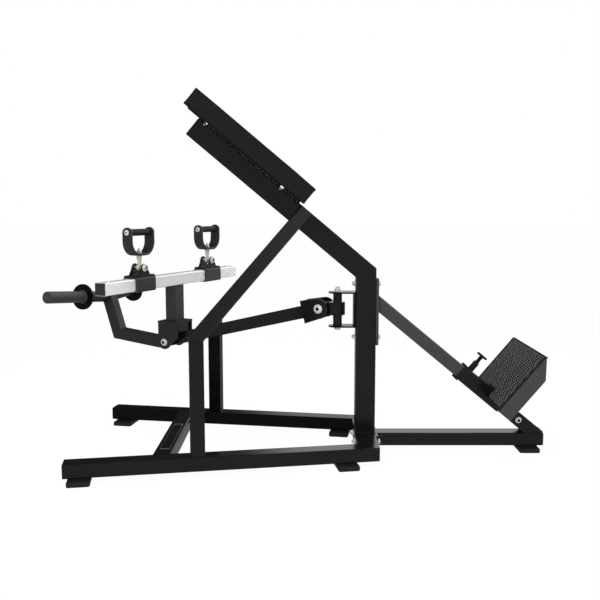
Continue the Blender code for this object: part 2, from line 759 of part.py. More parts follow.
def build_upright(machine):
    """The upright and the backbone, which meet at a mitre, and the backbone's cap."""
    mitre = (Z_AXIS + BACKBONE_ALONG).normalized()
    foot_end = Vector((0, 0, RAIL_TOP_Z + GAP))
    half_gap = GAP / 2 / mitre.dot(Z_AXIS)
    post = tube([foot_end, BACKBONE_START - Z_AXIS * half_gap], UPRIGHT_DEPTH, UPRIGHT_WIDTH, UPRIGHT_WALL, X_AXIS,
                end_normal=mitre)
    upright = machine.add("upright", post, "black_paint")
    cap_seat = BACKBONE_END - BACKBONE_ALONG * CAP_THICKNESS
    spine = tube([BACKBONE_START + BACKBONE_ALONG * half_gap, cap_seat], UPRIGHT_DEPTH, UPRIGHT_WIDTH, UPRIGHT_WALL,
                 BACKBONE_UP, start_normal=mitre)
    machine.add("backbone", spine, "black_paint")
    cap = end_cap(cap_seat, BACKBONE_ALONG, BACKBONE_UP, UPRIGHT_DEPTH, UPRIGHT_WIDTH, UPRIGHT_WALL)
    machine.add("backbone_cap", cap, "plastic")
    for z in (DIAGONAL_BOLT_UPPER_Z, DIAGONAL_BOLT_LOWER_Z):
        start = Vector((-UPRIGHT_DEPTH / 2, 0, z))
        machine.cut(upright, drill(start, start + X_AXIS * UPRIGHT_DEPTH, BOLT_RADIUS, Y_AXIS))


def build_struts(machine):
    """The mitred struts, from the rails' tops to the backbone's sides, trimmed level with its top."""
    seat_place = BACKBONE_START + BACKBONE_ALONG * STRUT_SEAT_ALONG + BACKBONE_UP * STRUT_SEAT_UP
    trim_low = UPRIGHT_DEPTH / 2 - GAP
    trim_size = 4 * STRUT_SIZE
    for label, side in SIDES:
        base_y = side * (rail_y(STRUT_X) + STRUT_OUTSET)
        seat_y = side * (UPRIGHT_WIDTH / 2 + GAP)
        base = Vector((STRUT_X, base_y, RAIL_TOP_Z + GAP))
        knee = Vector((STRUT_X, base_y, STRUT_BEND_Z))
        seat = Vector((seat_place.x, seat_y, seat_place.z))
        mesh = tube([base, knee, seat], STRUT_SIZE, STRUT_SIZE, STRUT_WALL, rail_along(side), end_normal=Y_AXIS)
        strut = machine.add("strut_" + label, mesh, "black_paint")
        on_axis = BACKBONE_START + BACKBONE_ALONG * STRUT_SEAT_ALONG + Y_AXIS * seat_y
        trim = on_axis + BACKBONE_UP * (trim_low + trim_size / 2)
        machine.cut(strut, plate(rectangle(trim_size, trim_size), trim, BACKBONE_ALONG, Y_AXIS, trim_size))


def cushion_sections(height):
    """The cushion's sections from base to top as (inset, rise): rounded rims, drawn-in sides and a crown."""
    shoulder = height - PAD_CROWN
    sections = []
    for step in range(EDGE_STEPS + 1):
        turn = math.pi / 2 * step / EDGE_STEPS
        sections.append((PAD_EDGE * (1 - math.sin(turn)), PAD_EDGE * (1 - math.cos(turn))))
    sections.append((PAD_SIDE_DRAW, shoulder / 2))
    for inset, rise in reversed(sections[:-1]):
        sections.append((inset, shoulder - rise))
    for step in range(1, CROWN_STEPS + 1):
        share = step / CROWN_STEPS
        inset = PAD_EDGE + (PAD_HALF_WIDTH - PAD_EDGE - PAD_RIDGE) * share
        sections.append((inset, height - PAD_CROWN * (1 - share) ** 2))
    return sections


def cushion(low, height):
    """A crisp slab with rounded rims and corners and a slight crown."""
    middle = PAD_LENGTH / 2 - PAD_OVERHANG
    rings = []
    for inset, rise in cushion_sections(height):
        corner = PAD_EDGE + (PAD_CORNER - PAD_EDGE) * max(0, 1 - inset / PAD_EDGE)
        outline = rectangle(PAD_LENGTH - 2 * inset, 2 * (PAD_HALF_WIDTH - inset), corner)
        rings.append([pad_point(middle + a, low + rise, b) for a, b in outline])
    return loft(rings)


def build_pad(machine):
    """The two mounting strips, the board and the cushion."""
    lower_end = PAD_LENGTH - PAD_OVERHANG - LOWER_STRIP_INSET
    lower_start = lower_end - LOWER_STRIP_LENGTH
    upper_start = UPPER_STRIP_INSET - PAD_OVERHANG
    upper_end = lower_start - STRIP_SPACE
    notch_end = NOTCH_START + NOTCH_LENGTH
    upper = [(upper_start, 0), (NOTCH_START, 0), (NOTCH_START, NOTCH_DEPTH), (notch_end, NOTCH_DEPTH),
             (notch_end, 0), (upper_end, 0), (upper_end, STRIP_THICKNESS), (upper_start, STRIP_THICKNESS)]
    lower = [(lower_start, 0), (lower_end, 0), (lower_end, STRIP_THICKNESS), (lower_start, STRIP_THICKNESS)]
    for label, outline in (("upper", upper), ("lower", lower)):
        strip = plate(outline, pad_point(0, GAP), -BACKBONE_ALONG, BACKBONE_UP, STRIP_WIDTH)
        machine.add("pad_strip_" + label, strip, "black_paint")
    board_low = 2 * GAP + STRIP_THICKNESS
    centre = pad_point(PAD_LENGTH / 2 - PAD_OVERHANG, board_low + BOARD_THICKNESS / 2)
    outline = rectangle(PAD_LENGTH - 2 * BOARD_INSET, 2 * (PAD_HALF_WIDTH - BOARD_INSET), BOARD_CORNER)
    board = plate(outline, centre, -BACKBONE_ALONG, Y_AXIS, BOARD_THICKNESS)
    machine.add("pad_board", board, "plywood")
    cushion_low = board_low + BOARD_THICKNESS + GAP
    mesh = cushion(cushion_low, PAD_THICKNESS - BOARD_THICKNESS - GAP)
    machine.add("chest_pad", mesh, "vinyl", smooth=True)


def build_pivot_bracket(machine):
    """The channel on the upright with its two flanges, and the vertical pin through them."""
    web_right = -UPRIGHT_DEPTH / 2 - GAP
    web_left = web_right - WEB_THICKNESS
    half = FLANGE_WIDTH / 2
    web = box((web_left, -half, BRACKET_BOTTOM_Z), (web_right, half, BRACKET_TOP_Z))
    bracket = machine.add("pivot_bracket", web, "black_paint")
    arc = arc_angles(90, 270, FLANGE_ARC_STEPS)
    outline = [(PIN_X + half * math.cos(a), half * math.sin(a)) for a in arc]
    outline += [(web_right - WEB_THICKNESS / 2, -half), (web_right - WEB_THICKNESS / 2, half)]
    for z in (BRACKET_BOTTOM_Z + FLANGE_THICKNESS / 2, BRACKET_TOP_Z - FLANGE_THICKNESS / 2):
        machine.join(bracket, plate(outline, (0, 0, z), X_AXIS, Y_AXIS, FLANGE_THICKNESS))
    head_face = Vector((PIN_X, 0, BRACKET_BOTTOM_Z))
    top_face = Vector((PIN_X, 0, BRACKET_TOP_Z))
    machine.cut(bracket, drill(head_face, top_face, PIN_RADIUS, X_AXIS))
    pin = bolt(head_face, Z_AXIS, X_AXIS, BRACKET_TOP_Z - BRACKET_BOTTOM_Z, PIN_RADIUS, PIN_HEAD_RADIUS,
               PIN_HEAD_HEIGHT, PIN_WASHER_RADIUS, PIN_NUT_HEIGHT)
    machine.add("pivot_pin", pin, "steel", place=(PIN_X, 0, 0), smooth=True)


def build_hub(machine, swing, guide):
    """The bushing on the pin, and the hub that turns on it and carries the lift bolt."""
    inner = PIN_RADIUS + GAP
    outer = inner + BUSHING_WALL
    low = BRACKET_BOTTOM_Z + FLANGE_THICKNESS + GAP
    length = BRACKET_TOP_Z - FLANGE_THICKNESS - GAP - low
    axis = Vector((PIN_X, 0, low))
    profile = [(outer, 0), (outer, length), (inner, length), (inner, 0)]
    bushing = turned(profile, axis, Z_AXIS, X_AXIS, bored=True)
    machine.add("pivot_bushing", bushing, "bronze", axis, swing, smooth=True)
    bottom = Vector((PIN_X, 0, BARREL_BOTTOM_Z))
    top = Vector((PIN_X, 0, BARREL_TOP_Z))
    hub = machine.add("pivot_hub", rod(bottom, top, BARREL_RADIUS, LEVER_ALONG), "black_paint", bottom, guide,
                      smooth=True)
    block_z = LIFT_Z + (HUB_BLOCK_RISE - HUB_BLOCK_DROP) / 2
    block = plate(rectangle(LIFT_L + HUB_BLOCK_BACK, HUB_BLOCK_WIDTH, HUB_BLOCK_CORNER),
                  lever_point((LIFT_L - HUB_BLOCK_BACK) / 2, 0, block_z), LEVER_ALONG, LEVER_ACROSS,
                  HUB_BLOCK_RISE + HUB_BLOCK_DROP)
    half = FORK_INNER_WIDTH / 2 - GAP
    first = lever_point(LIFT_L, -half, LIFT_Z)
    last = lever_point(LIFT_L, half, LIFT_Z)
    machine.join(hub, block, rod(first, last, LIFT_BARREL_RADIUS, Z_AXIS))
    machine.cut(hub, drill(bottom, top, outer, LEVER_ALONG), drill(first, last, LIFT_BOLT_RADIUS, Z_AXIS))


def fork_outline():
    """Side plate of the fork: round about the lift bolt, cut square to the arm at its base."""
    up = Vector((math.sin(ARM_ANGLE), math.cos(ARM_ANGLE)))
    base_l = LIFT_L + FORK_REACH
    base = Vector((base_l, arm_z(base_l)))
    half = ARM_HEIGHT / 2 + FORK_SIDE_RISE
    lift = Vector((LIFT_L, LIFT_Z))
    arc = arc_angles(75, 265, FORK_ARC_STEPS)
    points = [lift + Vector((math.cos(a), math.sin(a))) * FORK_RADIUS for a in arc]
    points += [base - up * half, base + up * half]
    return [(p.x, p.y) for p in points]


def build_arm(machine, lift):
    """The lever arm: two fork plates, their base plate and the box tube, as one weldment."""
    outline = fork_outline()
    offset = (FORK_INNER_WIDTH + FORK_PLATE) / 2
    origin = lever_point(LIFT_L, 0, LIFT_Z)
    plates = [plate(outline, lever_point(0, side * offset, 0), LEVER_ALONG, Z_AXIS, FORK_PLATE)
              for label, side in SIDES]
    arm = machine.add("lever_arm", plates[0], "black_paint", origin, lift)
    along = LEVER_ALONG * math.cos(ARM_ANGLE) - Z_AXIS * math.sin(ARM_ANGLE)
    up = Z_AXIS * math.cos(ARM_ANGLE) + LEVER_ALONG * math.sin(ARM_ANGLE)
    base_face = lever_point(LIFT_L + FORK_REACH, 0, arm_z(LIFT_L + FORK_REACH))
    base_centre = base_face - along * (FORK_BASE_THICKNESS / 2 + WELD_STEP)
    base_height = ARM_HEIGHT + 2 * FORK_SIDE_RISE - 2 * WELD_STEP
    base = plate(rectangle(FORK_INNER_WIDTH + FORK_PLATE, base_height), base_centre, LEVER_ACROSS, up,
                 FORK_BASE_THICKNESS)
    knee = lever_point(KNEE_L, 0, arm_z(KNEE_L))
    mitre = (along + GOOSENECK_ALONG).normalized()
    start = base_centre + along * (FORK_BASE_THICKNESS / 4)
    end = knee - along * (GAP / 2 / mitre.dot(along))
    body = tube([start, end], ARM_WIDTH, ARM_HEIGHT, ARM_WALL, LEVER_ACROSS, end_normal=mitre)
    machine.join(arm, base, body, plates[1])
    half = offset + FORK_PLATE / 2
    head_face = lever_point(LIFT_L, -half, LIFT_Z)
    machine.cut(arm, drill(head_face, lever_point(LIFT_L, half, LIFT_Z), LIFT_BOLT_RADIUS, Z_AXIS),
                drill(lever_point(SADDLE_BOLT_L, -half, SADDLE_BOLT_Z),
                      lever_point(SADDLE_BOLT_L, half, SADDLE_BOLT_Z), SADDLE_BOLT_RADIUS, Z_AXIS))
    piece = bolt(head_face, LEVER_ACROSS, Z_AXIS, 2 * half, LIFT_BOLT_RADIUS, PIN_HEAD_RADIUS,
                 washer_radius=LIFT_WASHER_RADIUS)
    machine.add("lift_bolt", piece, "steel", origin, lift, smooth=True)
    return mitre, knee


def build_gooseneck(machine, lift, mitre, knee):
    """The gooseneck behind the knee, its riser with a solid top, and the cross tube for the horns."""
    corner = lever_point(GOOSENECK_BEND_L, 0, GOOSENECK_BEND_Z)
    top = lever_point(RISER_TOP_L, 0, RISER_TOP_Z)
    start = knee + GOOSENECK_ALONG * (GAP / 2 / mitre.dot(GOOSENECK_ALONG))
    riser = (top - corner).normalized()
    up = GOOSENECK_ALONG.cross(LEVER_ACROSS)
    path = [start, corner, top]
    normals = path_planes(path, mitre, riser)
    outer = sweep_rings(path, rectangle(ARM_WIDTH, ARM_HEIGHT, RAIL_CORNER), LEVER_ACROSS, up, normals)
    hollow = rectangle(ARM_WIDTH - 2 * ARM_WALL, ARM_HEIGHT - 2 * ARM_WALL, BORE_CORNER)
    hollow_path = [start, corner, top - riser * RISER_SOLID_LENGTH]
    inner = sweep_rings(hollow_path, hollow, LEVER_ACROSS, up, normals)
    origin = lever_point(LIFT_L, 0, LIFT_Z)
    neck = machine.add("gooseneck", loft(inner[::-1] + outer), "black_paint", origin, lift)
    outline = circle(CROSS_TUBE_RADIUS)
    centre = lever_point(RISER_TOP_L, 0, HORN_Z)
    ends = []
    for label, side in SIDES:
        out = LEVER_ACROSS * side * math.cos(HORN_TILT) + Z_AXIS * math.sin(HORN_TILT)
        reach = (HORN_INNER_E - HORN_FLANGE_THICKNESS / 2) / math.cos(HORN_TILT) - GAP
        ends.append(centre + out * reach)
    first = (centre - ends[0]).normalized()
    path = [ends[0], centre, ends[1]]
    rings = sweep_rings(path, outline, LEVER_ALONG, first.cross(LEVER_ALONG), path_planes(path, None, None))
    machine.join(neck, loft(rings))


def build_horns(machine, lift):
    """The weight horns: a flange and a sleeve with a rounded, closed outer end."""
    origin = lever_point(LIFT_L, 0, LIFT_Z)
    centre = lever_point(RISER_TOP_L, 0, HORN_Z)
    for label, side in SIDES:
        out = LEVER_ACROSS * side * math.cos(HORN_TILT) + Z_AXIS * math.sin(HORN_TILT)
        inner = (HORN_INNER_E - HORN_FLANGE_THICKNESS / 2) / math.cos(HORN_TILT)
        flange = inner + HORN_FLANGE_THICKNESS
        outer = HORN_OUTER_E / math.cos(HORN_TILT)
        bore = HORN_RADIUS - HORN_WALL
        profile = [
            (bore, outer - HORN_END_THICKNESS),
            (bore, inner),
            (HORN_FLANGE_RADIUS, inner),
            (HORN_FLANGE_RADIUS, flange),
            (HORN_RADIUS, flange),
            (HORN_RADIUS, outer - HORN_END_EDGE),
            (HORN_RADIUS - HORN_END_EDGE, outer),
        ]
        mesh = turned(profile, centre, out, LEVER_ALONG)
        machine.add("weight_horn_" + label, mesh, "black_paint", origin, lift, smooth=True)


def ear_outline(start, end, top):
    """Side plate of the saddle: round about the bolt below, square at its top."""
    arc = arc_angles(190, 360, EAR_ARC_STEPS)
    outline = [(SADDLE_BOLT_L + SADDLE_EAR_RADIUS * math.cos(a), SADDLE_BOLT_Z + SADDLE_EAR_RADIUS * math.sin(a))
               for a in arc]
    return outline + [(end, top), (start, top), (start, arm_z(start))]


def build_saddle(machine, lift):
    """The saddle over the arm: top plate, two ears and the seat block."""
    origin = lever_point(LIFT_L, 0, LIFT_Z)
    start = BAR_L - SADDLE_LENGTH / 2
    end = BAR_L + SADDLE_LENGTH / 2
    top_outline = rectangle(SADDLE_LENGTH + 2 * WELD_STEP, 2 * (SADDLE_HALF_WIDTH + WELD_STEP))
    top = plate(top_outline, lever_point(BAR_L, 0, SADDLE_TOP_Z - SADDLE_PLATE / 2), LEVER_ALONG, LEVER_ACROSS,
                SADDLE_PLATE)
    saddle = machine.add("post_saddle", top, "black_paint", origin, lift)
    inside_top = SADDLE_TOP_Z - SADDLE_PLATE / 2
    offset = SADDLE_HALF_WIDTH - SADDLE_PLATE / 2
    ear = ear_outline(start, end, inside_top)
    for label, side in SIDES:
        machine.join(saddle, plate(ear, lever_point(0, side * offset, 0), LEVER_ALONG, Z_AXIS, SADDLE_PLATE))
    rise = ARM_HEIGHT / 2 / math.cos(ARM_ANGLE) + GAP
    seat_start = start + SADDLE_PLATE
    seat_end = seat_start + SEAT_LENGTH
    seat = [
        (seat_start, inside_top),
        (seat_start, arm_z(seat_start) + rise),
        (seat_end, arm_z(seat_end) + rise),
        (seat_end, inside_top),
    ]
    machine.join(saddle, plate(seat, lever_point(0, 0, 0), LEVER_ALONG, Z_AXIS, 2 * offset))
    head_face = lever_point(SADDLE_BOLT_L, -SADDLE_HALF_WIDTH, SADDLE_BOLT_Z)
    nut_face = lever_point(SADDLE_BOLT_L, SADDLE_HALF_WIDTH, SADDLE_BOLT_Z)
    machine.cut(saddle, drill(head_face, nut_face, SADDLE_BOLT_RADIUS, Z_AXIS))


def build_saddle_bolt(machine, lift):
    """The bolt through saddle and arm, with washers, a spacer on each side of the arm and its nut."""
    grip = 2 * SADDLE_HALF_WIDTH
    first = SADDLE_PLATE + GAP
    second = (grip - ARM_WIDTH) / 2 - GAP
    washer = -GAP - WASHER_THICKNESS
    profile = [
        (SOCKET_BOLT_HEAD_RADIUS, washer - BOLT_HEAD_HEIGHT, hexagon),
        (SOCKET_BOLT_HEAD_RADIUS, washer, hexagon),
        (SOCKET_WASHER_RADIUS, washer),
        (SOCKET_WASHER_RADIUS, -GAP),
        (SADDLE_BOLT_RADIUS, -GAP),
        (SADDLE_BOLT_RADIUS, first),
        (SADDLE_SPACER_RADIUS, first),
        (SADDLE_SPACER_RADIUS, second),
        (SADDLE_BOLT_RADIUS, second),
        (SADDLE_BOLT_RADIUS, grip - second),
        (SADDLE_SPACER_RADIUS, grip - second),
        (SADDLE_SPACER_RADIUS, grip - first),
        (SADDLE_BOLT_RADIUS, grip - first),
        (SADDLE_BOLT_RADIUS, grip + GAP),
        (SOCKET_WASHER_RADIUS, grip + GAP),
        (SOCKET_WASHER_RADIUS, grip - washer),
        (SOCKET_BOLT_HEAD_RADIUS, grip - washer, hexagon),
        (SOCKET_BOLT_HEAD_RADIUS, grip - washer + BOLT_HEAD_HEIGHT, hexagon),
    ]
    head_face = lever_point(SADDLE_BOLT_L, -SADDLE_HALF_WIDTH, SADDLE_BOLT_Z)
    mesh = turned(profile, head_face, LEVER_ACROSS, Z_AXIS)
    machine.add("saddle_bolt", mesh, "steel", lever_point(LIFT_L, 0, LIFT_Z), lift, smooth=True)


def build_post_and_bar(machine, lift):
    """The handle post on the saddle, the polished bar on it and the bar's plugs."""
    origin = lever_point(LIFT_L, 0, LIFT_Z)
    low = lever_point(BAR_L, 0, SADDLE_TOP_Z + GAP)
    high = low + Z_AXIS * POST_LENGTH
    post = tube([low, high], POST_WIDTH, POST_DEPTH, POST_WALL, LEVER_ACROSS)
    machine.add("handle_post", post, "black_paint", origin, lift)
    seat = BAR_HALF_LENGTH - CAP_THICKNESS
    near_end = lever_point(BAR_L, -seat, BAR_Z)
    far_end = lever_point(BAR_L, seat, BAR_Z)
    bar = tube([near_end, far_end], BAR_SIZE, BAR_SIZE, BAR_WALL, LEVER_ALONG, corner=BAR_CORNER)
    machine.add("handle_bar", bar, "polished", origin, lift)
    cap_size = BAR_SIZE - 2 * BAR_CAP_INSET
    for label, side in SIDES:
        cap = end_cap(lever_point(BAR_L, side * seat, BAR_Z), LEVER_ACROSS * side, LEVER_ALONG, cap_size, cap_size,
                      BAR_WALL - BAR_CAP_INSET, corner=BAR_CORNER - BAR_CAP_INSET)
        machine.add("bar_cap_" + label, cap, "plastic", origin, lift)


def build_carriage(machine, label, middle, parent):
    """A sleeve that slides on the bar."""
    origin = lever_point(BAR_L, middle, BAR_Z)
    height = BAR_SIZE + 2 * GAP + CARRIAGE_WALL_BELOW + CARRIAGE_WALL_ABOVE
    shift = (CARRIAGE_WALL_ABOVE - CARRIAGE_WALL_BELOW) / 2
    half = CARRIAGE_LENGTH / 2
    bore = BAR_SIZE + 2 * GAP
    outer = [lever_point(BAR_L, middle - half, BAR_Z + shift), lever_point(BAR_L, middle + half, BAR_Z + shift)]
    inner = [lever_point(BAR_L, middle - half, BAR_Z), lever_point(BAR_L, middle + half, BAR_Z)]
    up = LEVER_ACROSS.cross(LEVER_ALONG)
    outside = [place_outline(rectangle(CARRIAGE_WIDTH, height, CARRIAGE_CORNER), p, LEVER_ALONG, up)
               for p in outer]
    inside = [place_outline(rectangle(bore, bore, BAR_CORNER), p, LEVER_ALONG, up) for p in inner]
    sleeve = loft(outside + inside[::-1], ring_shaped=True)
    machine.add("carriage_" + label, sleeve, "black_paint", origin, parent)


def build_lugs(machine, label, middle, parent):
    """The lug bracket on a carriage's top, and the clevis bolt through its lugs."""
    origin = lever_point(BAR_L, middle, BAR_Z)
    base_low = CARRIAGE_TOP_Z + GAP
    base = plate(rectangle(LUG_BASE_WIDTH, LUG_BASE_LENGTH, LUG_BASE_CORNER),
                 lever_point(BAR_L, middle, base_low + LUG_BASE_THICKNESS / 2), LEVER_ALONG, LEVER_ACROSS,
                 LUG_BASE_THICKNESS)
    bracket = machine.add("lug_bracket_" + label, base, "black_paint", origin, parent)
    foot_z = base_low + LUG_BASE_THICKNESS / 2
    arc = arc_angles(25, 155, LUG_ARC_STEPS)
    outline = [(LUG_LENGTH / 2, foot_z)]
    outline += [(LUG_APEX_RADIUS * math.cos(a), LUG_BOLT_Z + LUG_APEX_RADIUS * math.sin(a)) for a in arc]
    outline += [(-LUG_LENGTH / 2, foot_z)]
    for offset in (-LUG_OFFSET, LUG_OFFSET):
        centre = lever_point(BAR_L + offset, middle, 0)
        machine.join(bracket, plate(outline, centre, LEVER_ACROSS, Z_AXIS, LUG_THICKNESS))
    bolt_axis = lever_point(BAR_L, middle, LUG_BOLT_Z)
    reach = LUG_OFFSET + LUG_THICKNESS / 2
    head_face = bolt_axis - LEVER_ALONG * reach
    machine.cut(bracket, drill(head_face, bolt_axis + LEVER_ALONG * reach, LUG_BOLT_RADIUS, Z_AXIS))
    piece = bolt(head_face, LEVER_ALONG, Z_AXIS, 2 * reach, LUG_BOLT_RADIUS, LUG_BOLT_HEAD_RADIUS,
                 LUG_BOLT_HEAD_HEIGHT, LUG_WASHER_RADIUS, LUG_NUT_HEIGHT)
    machine.add("clevis_bolt_" + label, piece, "steel", bolt_axis, parent, smooth=True)


def build_eye(machine, label, middle, parent):
    """The swivel eye: a ring on the clevis bolt, its stem through the handle, and the nut on top."""
    axis = lever_point(BAR_L, middle, LUG_BOLT_Z)
    half = LEVER_ALONG * (EYE_THICKNESS / 2)
    ring = rod(axis - half, axis + half, EYE_RADIUS, Z_AXIS)
    eye = machine.add("swivel_eye_" + label, ring, "zinc", axis, parent, smooth=True)
    seat = STRAP_BOTTOM_Z - GAP - LUG_BOLT_Z
    above = STRAP_BOTTOM_Z + STRAP_THICKNESS + GAP - LUG_BOLT_Z
    collar = seat - EYE_COLLAR_HEIGHT
    profile = [
        (EYE_NECK_RADIUS, LUG_BOLT_RADIUS + EYE_NECK_RADIUS / 2),
        (EYE_STEM_RADIUS, collar - (EYE_COLLAR_RADIUS - EYE_STEM_RADIUS)),
        (EYE_COLLAR_RADIUS, collar),
        (EYE_COLLAR_RADIUS, seat),
        (EYE_THREAD_RADIUS, seat),
        (EYE_THREAD_RADIUS, above),
        (EYE_NUT_RADIUS, above),
        (EYE_NUT_RADIUS, above + EYE_NUT_HEIGHT),
    ]
    machine.join(eye, turned(profile, axis, Z_AXIS, LEVER_ALONG))
    machine.cut(eye, drill(axis - half, axis + half, LUG_BOLT_RADIUS, Z_AXIS))


def strap_stations():
    """Middle line of the strap as (e, z, direction, half width), from one rounded end to the other."""
    middle_z = STRAP_BOTTOM_Z + STRAP_THICKNESS / 2
    bend_z = middle_z + STRAP_BEND_RADIUS
    half_width = STRAP_WIDTH / 2
    right = []
    for turn in arc_angles(0, 90, STRAP_ARC_STEPS):
        e = STRAP_HALF_SPAN - STRAP_BEND_RADIUS * (1 - math.sin(turn))
        z = bend_z - STRAP_BEND_RADIUS * math.cos(turn)
        right.append((e, z, turn, half_width))
    for turn in arc_angles(0, 88, STRAP_ARC_STEPS):
        z = GRIP_Z + STRAP_HEAD_RISE * math.sin(turn)
        right.append((STRAP_HALF_SPAN, z, math.pi / 2, half_width * math.cos(turn)))
    left = [(-e, z, -turn, width) for e, z, turn, width in reversed(right)]
    return left + right


def build_strap(machine, label, middle, parent):
    """The strap handle: a bent flat bar with rounded ends, bored for the stem and the grip."""
    rings = []
    for e, z, turn, width in strap_stations():
        centre = lever_point(BAR_L, middle + e, z)
        normal = Z_AXIS * math.cos(turn) - LEVER_ACROSS * math.sin(turn)
        half = STRAP_THICKNESS / 2
        corners = ((width, half), (width, -half), (-width, -half), (-width, half))
        rings.append([centre + LEVER_ALONG * a + normal * b for a, b in corners])
    origin = lever_point(BAR_L, middle, STRAP_BOTTOM_Z)
    strap = machine.add("handle_strap_" + label, loft(rings), "grey_paint", origin, parent)
    stem_end = origin + Z_AXIS * STRAP_THICKNESS
    grip_start = lever_point(BAR_L, middle - STRAP_HALF_SPAN, GRIP_Z)
    grip_end = lever_point(BAR_L, middle + STRAP_HALF_SPAN, GRIP_Z)
    machine.cut(strap, drill(origin, stem_end, EYE_THREAD_RADIUS, LEVER_ALONG),
                drill(grip_start, grip_end, GRIP_BOLT_RADIUS, Z_AXIS))


def build_grip(machine, label, middle, parent):
    """The turning grip with its bolt and button heads."""
    inner = STRAP_HALF_SPAN - STRAP_THICKNESS / 2 - GAP
    outer = STRAP_HALF_SPAN + STRAP_THICKNESS / 2 + GAP
    half = [
        (GRIP_RADIUS, inner - GRIP_EDGE),
        (GRIP_RADIUS - GRIP_EDGE, inner),
        (GRIP_BOLT_RADIUS, inner),
        (GRIP_BOLT_RADIUS, outer),
        (BUTTON_RADIUS, outer),
        (BUTTON_RADIUS, outer + BUTTON_HEIGHT * 0.4),
        (BUTTON_RADIUS * 0.6, outer + BUTTON_HEIGHT),
    ]
    profile = [(radius, -distance) for radius, distance in reversed(half)] + half
    centre = lever_point(BAR_L, middle, GRIP_Z)
    mesh = turned(profile, centre, LEVER_ACROSS, Z_AXIS)
    machine.add("grip_" + label, mesh, "rubber", centre, parent, smooth=True)


def build_tail_diagonal(machine):
    """The sloping tail tube with its plate on the upright, and the plate's two through bolts."""
    left = UPRIGHT_DEPTH / 2 + GAP
    right = left + DIAGONAL_PLATE_THICKNESS
    half = DIAGONAL_PLATE_WIDTH / 2
    low = (left, -half, DIAGONAL_BOLT_LOWER_Z - DIAGONAL_PLATE_MARGIN_BELOW)
    high = (right, half, DIAGONAL_BOLT_UPPER_Z + DIAGONAL_PLATE_MARGIN_ABOVE)
    diagonal = machine.add("tail_diagonal", box(low, high), "grey_paint")
    start_x = right - DIAGONAL_PLATE_THICKNESS / 2
    start = diagonal_point((start_x - DIAGONAL_X) / DIAGONAL_ALONG.x, 0)
    end = diagonal_point(DIAGONAL_LENGTH, 0)
    machine.join(diagonal, tube([start, end], DIAGONAL_SIZE, DIAGONAL_SIZE, DIAGONAL_WALL, Y_AXIS,
                                start_normal=X_AXIS))
    machine.cut(diagonal, drill(diagonal_point(SOCKET_BOLT_S, 0, -DIAGONAL_SIZE / 2),
                                diagonal_point(SOCKET_BOLT_S, 0, DIAGONAL_SIZE / 2), SOCKET_BOLT_RADIUS, Z_AXIS))
    for label, z in (("upper", DIAGONAL_BOLT_UPPER_Z), ("lower", DIAGONAL_BOLT_LOWER_Z)):
        face = Vector((right, 0, z))
        machine.cut(diagonal, drill(Vector((left, 0, z)), face, BOLT_RADIUS, Y_AXIS))
        piece = bolt(face, -X_AXIS, Y_AXIS, right + UPRIGHT_DEPTH / 2, BOLT_RADIUS, BOLT_HEAD_RADIUS)
        machine.add("diagonal_bolt_" + label, piece, "steel", smooth=True)


def build_socket(machine):
    """The bracket on the beam that holds the tail tube's lower end, and its bolt."""
    half = DIAGONAL_SIZE / 2
    base_low = RAIL_TOP_Z
    offset = half + GAP + SOCKET_PLATE / 2
    corners = []
    for up in (half, -half):
        start = diagonal_point(0, up)
        end_s = (start.z - base_low - SOCKET_BASE_THICKNESS / 2) / -DIAGONAL_ALONG.z
        near = diagonal_point(DIAGONAL_LENGTH - SOCKET_LENGTH, up)
        far = diagonal_point(end_s, up)
        corners.append(((near.x, near.z), (far.x, far.z)))
    outline = [corners[1][0], corners[1][1], corners[0][1], corners[0][0]]
    low = (corners[1][1][0], -offset - SOCKET_PLATE / 2, base_low)
    high = (corners[0][1][0], offset + SOCKET_PLATE / 2, base_low + SOCKET_BASE_THICKNESS)
    socket = machine.add("tail_socket", box(low, high), "black_paint")
    for label, side in SIDES:
        machine.join(socket, plate(outline, (0, side * offset, 0), X_AXIS, Z_AXIS, SOCKET_PLATE))
    reach = offset + SOCKET_PLATE / 2
    head_face = diagonal_point(SOCKET_BOLT_S, 0, -reach)
    machine.cut(socket, drill(head_face, diagonal_point(SOCKET_BOLT_S, 0, reach), SOCKET_BOLT_RADIUS, Z_AXIS))
    piece = bolt(head_face, Y_AXIS, Z_AXIS, 2 * reach, SOCKET_BOLT_RADIUS, SOCKET_BOLT_HEAD_RADIUS,
                 washer_radius=SOCKET_WASHER_RADIUS)
    machine.add("socket_bolt", piece, "steel", smooth=True)


def build_slider(machine, slide):
    """The sleeve that slides on the tail tube, with its collar and pin barrel."""
    origin = diagonal_point(SLIDER_START_S, 0)
    end = diagonal_point(SLIDER_START_S + SLIDER_LENGTH, 0)
    bore = DIAGONAL_SIZE + 2 * GAP
    wall = (SLIDER_SIZE - bore) / 2
    sleeve = tube([origin, end], SLIDER_SIZE, SLIDER_SIZE, wall, Y_AXIS, bore=(bore, bore))
    slider = machine.add("footplate_slider", sleeve, "grey_paint", origin, slide)
    collar_start = SLIDER_START_S - COLLAR_LEAD
    collar = tube([diagonal_point(collar_start, 0), diagonal_point(collar_start + COLLAR_LENGTH, 0)],
                  COLLAR_SIZE, COLLAR_SIZE, wall, Y_AXIS, bore=(bore, bore))
    barrel_top = diagonal_point(PLUNGER_S, PLUNGER_BARREL_TOP_T)
    barrel = rod(diagonal_point(PLUNGER_S, (bore + wall) / 2), barrel_top, PLUNGER_BARREL_RADIUS, Y_AXIS)
    machine.join(slider, collar, barrel)
    machine.cut(slider, drill(diagonal_point(PLUNGER_S, bore / 2), barrel_top, PLUNGER_RADIUS, Y_AXIS))


